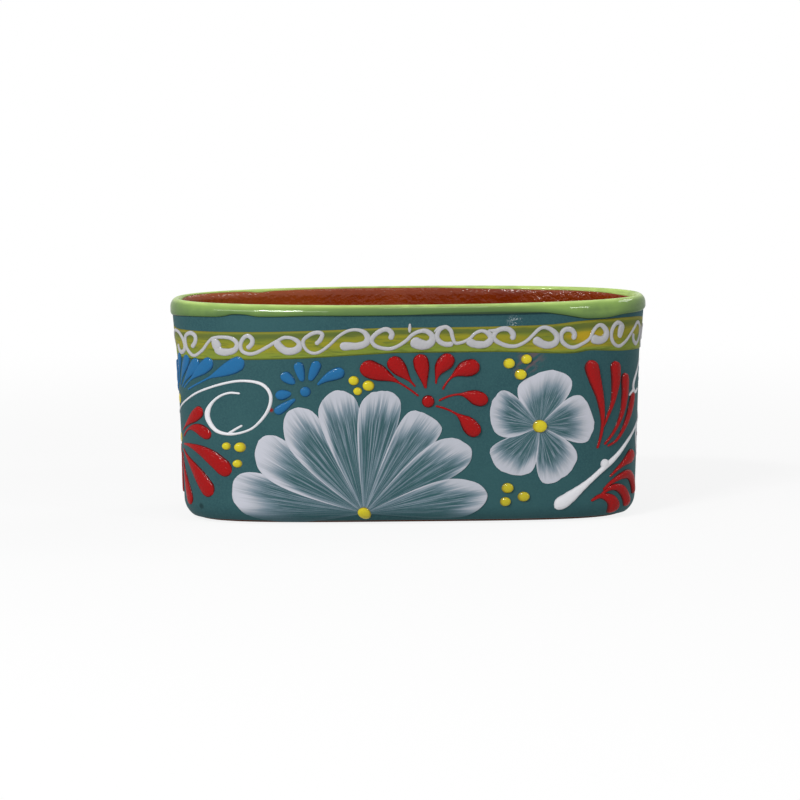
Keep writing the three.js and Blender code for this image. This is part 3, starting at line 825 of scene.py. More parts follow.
@dataclass
class Coats:
    """The fired body and the coats of slip, glaze and paint that go right round it."""

    wall: Wall
    tree: bpy.types.NodeTree
    glaze_edge: PaintedEdge = PaintedEdge((
        (-158, 118.4), (-134, 119.6), (-119, 120), (-111, 120.4), (-104, 122.2), (-97, 122.3),
        (-88, 120.9), (-75, 121.1), (-55, 121.8), (-30, 121.8), (-4, 122), (22, 123.2), (50, 123.4),
        (76, 122.6), (92, 120.2), (105, 117.6), (120, 117.3), (132, 118.8), (149, 118.9), (165, 120),
    ), 2.5)
    glaze_inside: PaintedEdge = PaintedEdge((
        (-166, 125), (-150, 124.6), (-130, 125.8), (-110, 126.2), (-80, 126.2), (-50, 126.6),
        (-20, 127.4), (20, 127.5), (60, 127.5), (92, 127), (98, 125.6), (104, 127.3), (130, 127.5),
        (150, 127.4),
    ), 4.0)
    band_top: PaintedEdge = PaintedEdge((
        (-150, 111.4), (-120, 111.6), (-76, 112.6), (-45, 113.7), (-15, 115), (39, 115), (85, 115.2),
        (98, 116.5), (112, 117), (132, 117), (150, 116.4), (166, 113.5),
    ), 5.0)
    band_foot: PaintedEdge = PaintedEdge((
        (-150, 94.6), (-135, 94.6), (-105, 95.6), (-62, 97), (-30, 99), (-5, 100.3), (52, 100.2),
        (92, 98.1), (101, 98), (106, 99.6), (130, 97.6), (150, 97), (166, 95.6),
    ), 3.0)

    def finished(self, node: str, slot: Slot, outline: Outline, follows: float) -> None:
        """Bend an outline round the wall, dress it and tie it to its node.

        Args:
            node: The node that it stands for.
            slot: The slot that it takes its finish from.
            outline: Its outline.
            follows: 1 where its lifts are measured from the round heel, and 0 elsewhere.
        """
        piece = shaped(f"{node}_dressed", outline.mesh(node), self.tree, {"Follows heel": follows})
        piece.data.shade_smooth()
        piece.data.materials.clear()
        piece.data.materials.append(paint_of(slot))
        finish_piece(piece, node)

    def arc(self, outline: Outline, centre: Mark, radii: Mark, angles: np.ndarray) -> None:
        """Add rings along an arc of the outline.

        Args:
            outline: The outline.
            centre: The arc's middle, (lift, height).
            radii: How far it reaches out and up.
            angles: Degrees, with 0 outwards and 90 up.
        """
        for degrees in angles:
            angle = math.radians(degrees)
            lift = centre[0] + radii[0] * math.cos(angle)
            outline.ring(centre[1] + radii[1] * math.sin(angle), lift)

    def inside(self, outline: Outline, skin: float, rising: bool) -> None:
        """Add the rings of the floor and the inside wall.

        Args:
            outline: The outline.
            skin: How far the surface stands off the clay.
            rising: Whether it goes from the drain hole up, or comes down.
        """
        wall = self.wall
        corner = -(wall.thickness + wall.cove)
        rings = [(wall.floor + skin, corner, share) for share in np.linspace(1.0, 0.08, 12)]
        for degrees in np.linspace(270, 360, 12):
            angle = math.radians(degrees)
            radius = wall.cove - skin
            lift = corner + radius * math.cos(angle)
            rings.append((wall.floor + wall.cove + radius * math.sin(angle), lift, 0.0))
        for height in np.linspace(wall.floor + wall.cove + 4, wall.widest - 2, 26):
            rings.append((height, -wall.thickness - skin, 0.0))
        for height, lift, inward in rings if rising else reversed(rings):
            outline.ring(height, lift, inward)

    def body(self) -> None:
        """Build the clay body."""
        wall = self.wall
        outline = Outline(wall)
        self.inside(outline, 0.0, True)
        half = wall.thickness / 2
        over = np.linspace(180, 0, 16)
        self.arc(outline, (-half, wall.widest), (half, wall.lip_round), over)
        outline.rings(np.linspace(wall.widest - 3, wall.heel + 3, 24), 0.0)
        self.arc(outline, (-wall.heel, wall.heel), (wall.heel, wall.heel), np.linspace(0, -90, 16))
        for share in np.linspace(0.1, 1.0, 8):
            outline.ring(0.0, -wall.heel, share)
        self.finished("clay_body", Slot.CLAY, outline, 0.0)

    def coat(self) -> None:
        """Build the slip coat on the outside."""
        wall = self.wall
        outline = Outline(wall)
        top = wall.widest + 1
        down_the_heel = wall.heel * (1 - np.sin(np.radians(np.linspace(4, 54, 13))))
        rounded_foot = ((1.92, 0.72), (1.82, 0.5), (1.8, 0.1))
        outline.rings(np.linspace(2.4, top, 10), -wall.sunk)
        outline.ring(top, wall.coat - 0.1)
        outline.rings(np.linspace(top - 0.3, wall.heel, 46), wall.coat)
        outline.rings(down_the_heel, wall.coat)
        for height, lift in rounded_foot:
            outline.ring(height, lift)
        self.finished("slip_coat", Slot.COAT, outline, 1.0)

    def lining(self) -> None:
        """Build the clear glaze on the inside."""
        wall = self.wall
        outline = Outline(wall)
        half = wall.thickness / 2
        over = np.linspace(180, 80, 12)
        self.inside(outline, wall.lining, True)
        for skin, angles in ((wall.lining, over), (-wall.sunk, over[::-1])):
            self.arc(outline, (-half, wall.widest), (half + skin, wall.lip_round + skin), angles)
        self.inside(outline, -wall.sunk, False)
        self.finished("inside_glaze", Slot.LINING, outline, 0.0)

    def lip(self) -> None:
        """Build the glaze on the lip, with a thick lower edge that wanders."""
        wall = self.wall
        across = wall.across()
        low = self.glaze_edge.heights(across)
        inner = self.glaze_inside.heights(across)
        half = wall.thickness / 2
        outline = Outline(wall)
        tall = wall.height - wall.widest
        start = 180 - np.degrees(np.arcsin(np.clip((inner - wall.widest) / tall, 0, 0.985)))

        def over(degrees: Row, rise: float, reach: float) -> None:
            """Add a ring on the lip's round, well away from the glaze's outer edge."""
            angle = np.radians(degrees)
            height = wall.widest + rise * np.sin(angle)
            outline.ring(height, -half + reach * np.cos(angle), edge=9.0, crest=1.0)

        for share, skin in ((0.0, 0.0), (0.03, 0.45), (0.08, 0.8), (0.16, 1.0)):
            degrees = start * (1 - share) + 90 * share
            over(degrees, wall.lip_round + 0.4 + 0.7 * skin, half + 0.35 + 0.35 * skin)
        for share in np.linspace(0.3, 1.0, 7):
            over(start * (1 - share) + 90 * share, tall, half + 0.7)
        for degrees in np.linspace(84, 0, 16):
            angle = math.radians(degrees)
            height = wall.widest + tall * math.sin(angle)
            lift = -half + (half + wall.glaze) * math.cos(angle)
            outline.ring(height, lift, edge=height - low, crest=degrees / 90)
        for share in np.linspace(0.12, 1.0, 14):
            height = wall.widest * (1 - share) + low * share
            away = height - low
            nose = np.sqrt(np.clip(1 - (1 - np.clip(away / 1.3, 0, 1)) ** 2, 0, 1))
            pooled = 0.12 * np.exp(-((away - 1.6) / 1.1) ** 2)
            lift = wall.coat - 0.05 + (wall.glaze - wall.coat + pooled) * nose
            outline.ring(height, lift, edge=away, crest=0.0)
        for height in (low, np.maximum(low, wall.widest - 0.5)):
            outline.ring(height, wall.coat - wall.sunk, edge=0.0, crest=0.0)
        for degrees in (*np.linspace(0, 90, 8), start):
            over(degrees, wall.lip_round - 0.2, half - 0.2)
        self.finished("lip_glaze", Slot.LIP, outline, 0.0)

    def band(self) -> None:
        """Build the painted band under the lip."""
        wall = self.wall
        across = wall.across()
        top = self.band_top.heights(across)
        foot = self.band_foot.heights(across)
        sun = np.exp(-(((across % wall.face) - 98) / 27) ** 2)
        outline = Outline(wall)
        for share in (0.05, 0.5, 0.95):
            outline.ring(foot + (top - foot) * share, wall.coat - wall.sunk, share=share, sun=sun)
        for share in np.linspace(1.0, 0.0, 15):
            film = 0.02 if share in (0.0, 1.0) else 0.12
            outline.ring(foot + (top - foot) * share, wall.coat + film, share=share, sun=sun)
        self.finished("border_band", Slot.BAND, outline, 0.0)

    def build(self) -> None:
        """Build every coat, from the clay outwards."""
        self.body()
        self.coat()
        self.lining()
        self.lip()
        self.band()


def on_the_wall(g: Graph, flat: Wire, bend: bpy.types.NodeTree, material: Wire) -> bpy.types.NodeTree:
    """End a tree of shapes by bending its flat work round the wall.

    Args:
        g: The tree's graph.
        flat: The flat work.
        bend: The group that bends it.
        material: The material that it gets.

    Returns:
        The finished tree.
    """
    bent = g.out("GeometryNodeGroup", {"Geometry": flat}, node_tree=bend)
    smooth = g.out("GeometryNodeSetShadeSmooth", {"Geometry": bent})
    whole = g.out("GeometryNodeRealizeInstances", {"Geometry": smooth})
    return g.outlet(g.out("GeometryNodeSetMaterial", {"Geometry": whole, "Material": material}))


def trailed_slip(bend: bpy.types.NodeTree) -> bpy.types.NodeTree:
    """Build the tree that trails slip along marked lines and drops it at loose marks.

    Args:
        bend: The group that bends flat work round the wall.

    Returns:
        The tree, which reads each mark's half width as girth.
    """
    g = Graph.shapes("trailed_slip")
    marks = g.inlet("Geometry", kind="Geometry")
    step = g.inlet("Step", 0.55)
    crown = g.inlet("Crown", 1.5)
    tremble = g.inlet("Tremble", 0.08)
    sink = g.inlet("Sink", 0.25)
    seed = g.inlet("Seed", 1.0)
    material = g.inlet("Material", kind="Material")

    line = g.out("GeometryNodeMeshToCurve", {"Mesh": marks})
    smooth = g.out("GeometryNodeCurveSplineType", {"Curve": line}, spline_type="CATMULL_ROM")
    even = g.out("GeometryNodeResampleCurve", {"Curve": smooth, "Length": step}, mode="LENGTH")
    along = g.out("GeometryNodeSplineParameter", {}, "Length")
    total = g.out("GeometryNodeSplineLength", {}, "Length")
    girth = g.read("girth")
    where = g.place()
    hand = {"Vector": where, "W": seed, "Scale": 0.3}
    shaky = g.out("ShaderNodeTexNoise", hand, noise_dimensions="4D")
    width = girth * (1 + (shaky - 0.5) * 2 * tremble)
    near_end = g.math("MINIMUM", g.math("MINIMUM", along, total - along) / width, 1.0)
    rounded = g.math("SQRT", g.math("MAXIMUM", near_end * (2 - near_end), 0.0006))
    line = g.store(even, "girth", width * rounded)
    line = g.out("GeometryNodeSetCurveNormal", {"Curve": line}, mode="Z_UP")
    profile = g.out("GeometryNodeCurvePrimitiveCircle", {"Resolution": 16, "Radius": 1.0})
    inputs = {"Curve": line, "Profile Curve": profile, "Scale": g.read("girth"), "Fill Caps": True}
    tubes = g.out("GeometryNodeCurveToMesh", inputs)

    ball = g.out("GeometryNodeMeshUVSphere", {"Segments": 28, "Rings": 16, "Radius": 1.0})
    squeeze = g.out(
        "FunctionNodeRandomValue", {2: 0.93, 3: 1.07, "Seed": 7}, 1, data_type="FLOAT"
    )
    spots = g.out("GeometryNodeInstanceOnPoints", {
        "Points": marks,
        "Selection": g.math("GREATER_THAN", g.read("dot"), 0.5),
        "Instance": ball,
        "Scale": g.vector(girth * squeeze, girth / squeeze, girth),
    })
    spots = g.out("GeometryNodeRealizeInstances", {"Geometry": spots})
    join = g.add("GeometryNodeJoinGeometry", {})
    for part in (tubes, spots):
        g.tree.links.new(part.socket, join.inputs[0])
    beads = Wire(g, join.outputs[0])

    x, y, z = g.split(where)
    beads = g.store(beads, "crown", z / girth)
    squash = crown / (crown + girth)
    height = g.math("MAXIMUM", z * squash, 0 - sink)
    return on_the_wall(g, g.moved(beads, g.vector(x, y, height + g.inlet("Seat", 0.8))), bend, material)


@dataclass(frozen=True)
class Comma:
    """A stroke of slip that swells from a thin tail into a round head."""

    angle: float
    neck: float
    reach: float
    head: float
    bow: float = 0.0
    swell: float = 0.15

    def marks(self, hub: Mark) -> list[Mark]:
        """Return the stroke's marks.

        Args:
            hub: The place on the sheet that the fan's strokes point at.

        Returns:
            Marks from the tail to the tip, each (across, up, half width).
        """
        turn = math.radians(self.angle)
        tail, full, count = 0.6, 0.92, 12
        tip = self.reach + self.head
        marks = []
        for share in np.linspace(0.0, 1.0, count):
            distance = self.neck + (tip - self.neck) * share
            out = min((distance - self.neck) / (self.reach - self.neck), 1.0)
            aside = 4 * self.bow * out * (1 - out)
            across = hub[0] + distance * math.cos(turn) - aside * math.sin(turn)
            up = hub[1] + distance * math.sin(turn) + aside * math.cos(turn)
            swollen = min(max((out - self.swell) / (full - self.swell), 0.0), 1.0)
            eased = swollen * swollen * (3 - 2 * swollen)
            marks.append((across, up, tail + (self.head - tail) * eased))
        return marks


class Seed(Enum):
    """What the hand's tremble starts from, for each kind of work."""

    BORDER = 3.0
    DOT = 5.0
    FAN = 10.0
    SPRAY = 21.0
    VINE = 30.0
    TRIO = 40.0


@dataclass
class Slip:
    """Work trailed or dropped on the sheet in one slip, for one node."""

    slot: Slot
    lines: list[Sequence[Mark]] = field(default_factory=list)
    dots: list[Mark] = field(default_factory=list)
    crown: float = 1.5
    tremble: float = 0.08
    seat: float = 0.8
    tone: float = 1.0

    def mesh(self, name: str, shift: float) -> bpy.types.Mesh:
        """Return the marks as a mesh of edges and loose points.

        Args:
            name: The mesh's name.
            shift: How far round the wall the work is moved.

        Returns:
            The mesh.
        """
        points, girth, dot, edges = [], [], [], []
        for line in self.lines:
            start = len(points)
            edges += [(start + index, start + index + 1) for index in range(len(line) - 1)]
            points += [(across + shift, up, 0.0) for across, up, _ in line]
            girth += [half for *_, half in line]
            dot += [0.0] * len(line)
        for across, up, radius in self.dots:
            points.append((across + shift, up, 0.0))
            girth.append(radius)
            dot.append(1.0)
        numbers = {"girth": np.array(girth), "dot": np.array(dot), "tone": np.full(len(dot), self.tone)}
        return flat_mesh(name, np.array(points), edges, numbers=numbers)

    def build(self, tree: bpy.types.NodeTree, name: str, shift: float, seed: float) -> None:
        """Trail the slip and tie it to its node.

        Args:
            tree: The tree that trails slip.
            name: The node's name.
            shift: How far round the wall the work is moved.
            seed: What its hand's tremble starts from.
        """
        sizes = {
            "Crown": self.crown,
            "Tremble": self.tremble,
            "Seat": self.seat,
            "Seed": seed,
            "Material": paint_of(self.slot),
        }
        piece = shaped(f"{name}_trailed", self.mesh(name, shift), tree, sizes)
        finish_piece(piece, name)


@dataclass(frozen=True)
class Scroll:
    """One scroll of the border, from the inner end of its hook to the blob in its loop."""

    marks: tuple[Mark, ...]
    hook: float
    sweep: float
    loop: float
    blob: float

    def line(self) -> list[Mark]:
        """Return the scroll's marks with their half widths."""
        last = len(self.marks) - 1
        stops = (0.0, 0.16, 0.34, 0.52, 0.66, 0.78, 0.9, 1.0)
        fuller = 0.5 * (self.loop + self.blob)
        hook, sweep = self.hook, self.sweep
        widths = (1.1 * hook, hook, 0.85 * hook, sweep, 1.1 * sweep, self.loop, fuller, self.blob)
        return [
            (across, up, float(np.interp(index / last, stops, widths)))
            for index, (across, up) in enumerate(self.marks)
        ]


@dataclass
class Border:
    """The white scrolls that are trailed along the painted band."""

    wall: Wall
    tree: bpy.types.NodeTree
    scrolls: tuple[Scroll, ...] = (
        Scroll((
            (-133.5, 101.5), (-130.5, 105), (-130.5, 108.5), (-134.5, 110), (-139, 107.5), (-138.5, 102),
            (-135.5, 98.5), (-131, 97), (-125, 100.5), (-121, 105), (-117, 108), (-110, 108.8),
            (-104, 108), (-100.8, 105.2), (-102.2, 101.8), (-107, 100.2), (-112, 100.4), (-115.6, 102.6),
        ), 1.3, 0.9, 1.6, 2.6),
        Scroll((
            (-94.5, 102.5), (-91, 105.5), (-91, 108.5), (-94, 110), (-97, 108), (-98.5, 104.5),
            (-97.5, 101), (-93, 99.5), (-88, 100.5), (-81, 104), (-75.5, 107), (-70.5, 109.3),
            (-65.5, 109), (-61.8, 106.6), (-62, 103.5), (-65.5, 101.6), (-70, 101.6), (-73.6, 104),
            (-76, 107.5),
        ), 1.3, 0.95, 2.0, 2.5),
        Scroll((
            (-52, 105.5), (-49, 108), (-47.5, 111.5), (-50.5, 112.5), (-55, 111), (-59, 107.5),
            (-58, 103), (-54.5, 100.5), (-50, 101), (-44, 105), (-38.5, 110), (-33, 113.3),
            (-28, 114), (-23.8, 112.5), (-22, 109), (-23.5, 106), (-28, 104.5), (-32, 104.5),
            (-38, 104.3),
        ), 1.15, 0.85, 1.8, 2.5),
        Scroll((
            (-10, 108), (-8.8, 111.5), (-11, 114), (-14.5, 113.5), (-18.5, 110.5), (-20, 107.5),
            (-18, 104.5), (-13.5, 103), (-9, 103), (-4.5, 105), (-0.5, 108), (2, 110.6), (5.5, 112.6),
            (9.6, 113), (13, 110.3), (13, 107), (10.5, 105), (6.5, 105.2), (1.5, 107.6),
        ), 1.4, 1.0, 1.7, 3.7),
        Scroll((
            (25, 105.4), (21, 105), (17.4, 106.6), (15.7, 109.6), (17, 113.6), (20.4, 115.2),
            (23.2, 113), (24.4, 109), (26, 105.8), (30, 106.2), (34, 108.3), (37, 111.4),
            (41, 112.6), (45, 110.5), (46, 107.5), (43.5, 105), (39.5, 104.6), (35.6, 105.4),
            (32.6, 107.6),
        ), 1.4, 0.9, 2.0, 2.4),
        Scroll((
            (58.2, 107), (59, 110), (56.5, 113), (52.5, 113.6), (48.8, 112), (47.5, 108.5),
            (51, 105.5), (56.5, 103.5), (61.5, 103.5), (67, 106), (71, 109.5), (74.5, 112.7),
            (78.3, 113.8), (83, 112), (86.2, 108.5), (85.5, 105), (82, 103.4), (77, 104.2),
            (71.5, 107.4),
        ), 1.5, 1.0, 1.7, 2.6),
        Scroll((
            (96.5, 106), (97.5, 109), (95.5, 111.8), (91.5, 112), (89, 109.5), (89.5, 105.5),
            (93, 102.5), (97, 101.5), (102, 103), (107.5, 106), (110.5, 110.8), (113.5, 113.4),
            (116.5, 113.2), (119, 110.3), (119, 107.2), (116.8, 105.2), (113, 105), (108.5, 106.6),
        ), 1.45, 0.95, 1.8, 2.9),
        Scroll((
            (128.7, 105.2), (130.5, 108.6), (131.5, 112), (128, 114.2), (124.5, 112), (122.8, 107.5),
            (124.3, 102.8), (128.5, 100.4), (133.5, 102.4), (138, 106), (142.5, 110), (146.5, 113),
            (150.5, 110), (150.5, 104.5), (146, 100.5), (142, 103), (141.5, 107),
        ), 1.3, 0.9, 1.2, 1.3),
        Scroll((
            (160.5, 101.5), (164.5, 104.5), (163.5, 108.5), (159, 110), (154.8, 107), (154.8, 102),
            (158.5, 98), (164.5, 98), (171, 102.5), (177, 107.5), (182.5, 110), (189, 109.5),
            (194, 106), (196, 101), (192.5, 98), (188, 99), (186.5, 102.5),
        ), 1.2, 0.9, 1.4, 1.5),
    )
    flecks: tuple[Sequence[Mark], ...] = (
        ((1, 117.5, 0.5), (0.9, 114.5, 0.9), (0.8, 112, 0.6)),
        ((14, 112.2, 0.4), (16.5, 114.6, 0.8), (20, 115.6, 0.9)),
        ((44, 113, 0.4), (48, 112.5, 1.2), (51, 112.8, 1.2)),
        ((-117.4, 107.8, 1.2), (-115.4, 105, 2.9), (-113.2, 101.4, 3.2)),
        ((130.5, 113, 1.5), (129.5, 109.5, 1.6), (128.4, 105.5, 0.9)),
    )

    def build(self) -> None:
        """Trail the border right round the pot."""
        lines = [scroll.line() for scroll in self.scrolls] + [list(fleck) for fleck in self.flecks]
        again = [[(across + self.wall.face, *rest) for across, *rest in line] for line in lines]
        work = Slip(Slot.WHITE, lines + again, crown=1.0, tremble=0.14, seat=0.92, tone=0.68)
        work.build(self.tree, "border_scrolls", 0.0, Seed.BORDER.value)


def brushed_petals(bend: bpy.types.NodeTree) -> bpy.types.NodeTree:
    """Build the tree that lays a petal of one brush load at each marked place.

    Args:
        bend: The group that bends flat work round the wall.

    Returns:
        The tree, which reads what each Petal holds from its loose point.
    """
    g = Graph.shapes("brushed_petals")
    marks = g.inlet("Geometry", kind="Geometry")
    across = g.inlet("Centre across", 0.0)
    up = g.inlet("Centre up", 0.0)
    ragged = g.inlet("Raggedness", 0.06)
    film = g.inlet("Film", 0.06)
    layer = g.inlet("Layer", 0.035)
    material = g.inlet("Material", kind="Material")

    sizes = {"Size": (1.0, 1.0, 1.0), "Vertices X": 48, "Vertices Y": 37, "Vertices Z": 2}
    block = g.out("GeometryNodeMeshCube", sizes)
    x, y, z = g.split(g.place())
    block = g.store(block, "along", 1 - 0.96 * (0.5 - x) ** 1.3)
    block = g.store(block, "side", g.math("SINE", y * math.pi))
    fan = g.out("GeometryNodeInstanceOnPoints", {"Points": marks, "Instance": block})
    petals = g.out("GeometryNodeRealizeInstances", {"Geometry": fan})

    side = g.read("side")
    reach = g.read("reach")
    wobble = g.noise(g.vector(side * 2.4, g.read("number") * 5.0, across), 1.0, 3.0) - 0.5
    shoulder = g.math("MAXIMUM", 1 - abs(side) ** g.read("square"), 0.03) ** 0.5
    end = (1 - g.read("dome") * side * side + g.read("skew") * side + ragged * wobble) * shoulder
    radius = g.read("along") * end
    petals = g.store(petals, "radius", radius)
    petals = g.store(petals, "gap", (end - radius) * reach)
    turn = g.read("angle") + side * g.read("spread")
    out = g.read("radius") * reach
    above = g.math("GREATER_THAN", z, 0.0)
    underside, sunk = 0.55, 0.25
    lift = above * (film + layer * g.read("number") + sunk) + underside
    place = g.vector(across + out * g.math("COSINE", turn), up + out * g.math("SINE", turn), lift)
    return on_the_wall(g, g.moved(petals, place), bend, material)


@dataclass(frozen=True)
class Petal:
    """One load of the brush: where it points, how far it spreads and reaches, and its end."""

    angle: float
    spread: float
    reach: float
    dome: float
    skew: float
    square: float = 7.0


@dataclass(frozen=True)
class Flower:
    """A flower of brushed petals, each laid over the one before it, and its dot."""

    name: str
    centre: Mark
    petals: tuple[Petal, ...]
    ragged: float = 0.06
    dot: float = 3.8

    def build(self, tree: bpy.types.NodeTree, slip: bpy.types.NodeTree, side: str, shift: float) -> None:
        """Brush the petals and drop the middle's dot.

        Args:
            tree: The tree that lays petals.
            slip: The tree that trails slip.
            side: The face of the pot.
            shift: How far round the wall it is moved.
        """
        across, up = self.centre
        rows = [asdict(petal) for petal in self.petals]
        numbers = {key: np.array([row[key] for row in rows]) for key in rows[0]}
        numbers["angle"] = np.radians(numbers["angle"])
        numbers["spread"] = np.radians(numbers["spread"])
        numbers["number"] = np.arange(len(rows), dtype=float)
        node = f"{side}_{self.name}_flower_petals"
        mesh = flat_mesh(node, np.zeros((len(rows), 3)), numbers=numbers)
        sizes = {
            "Centre across": across + shift,
            "Centre up": up,
            "Raggedness": self.ragged,
            "Material": paint_of(Slot.PETAL),
        }
        piece = shaped(f"{node}_brushed", mesh, tree, sizes)
        finish_piece(piece, node)
        centre = Slip(Slot.YELLOW, dots=[(across, up, self.dot)], crown=3.0, seat=1.0)
        centre.build(slip, f"{side}_{self.name}_flower_centre", shift, Seed.DOT.value)


@dataclass(frozen=True)
class Fan:
    """Strokes that point at a hub, with a dot there of their own slip or else a yellow one."""

    name: str
    slot: Slot
    hub: Mark
    crown: float
    dot: float
    strokes: tuple[Comma, ...]
    yellow_dot: float = 3.1

    def build(self, slip: bpy.types.NodeTree, side: str, shift: float, seed: float) -> None:
        """Trail the strokes and drop the dot.

        Args:
            slip: The tree that trails slip.
            side: The face of the pot.
            shift: How far round the wall it is moved.
            seed: What its hand's tremble starts from.
        """
        node = f"{side}_{self.name}"
        lines = [stroke.marks(self.hub) for stroke in self.strokes]
        dots = [(*self.hub, self.dot)] if self.dot else []
        Slip(self.slot, lines, dots, crown=self.crown).build(slip, node, shift, seed)
        if not self.dot:
            spot = Slip(Slot.YELLOW, dots=[(*self.hub, self.yellow_dot)], crown=0.6)
            spot.build(slip, f"{node}_centre", shift, Seed.DOT.value)


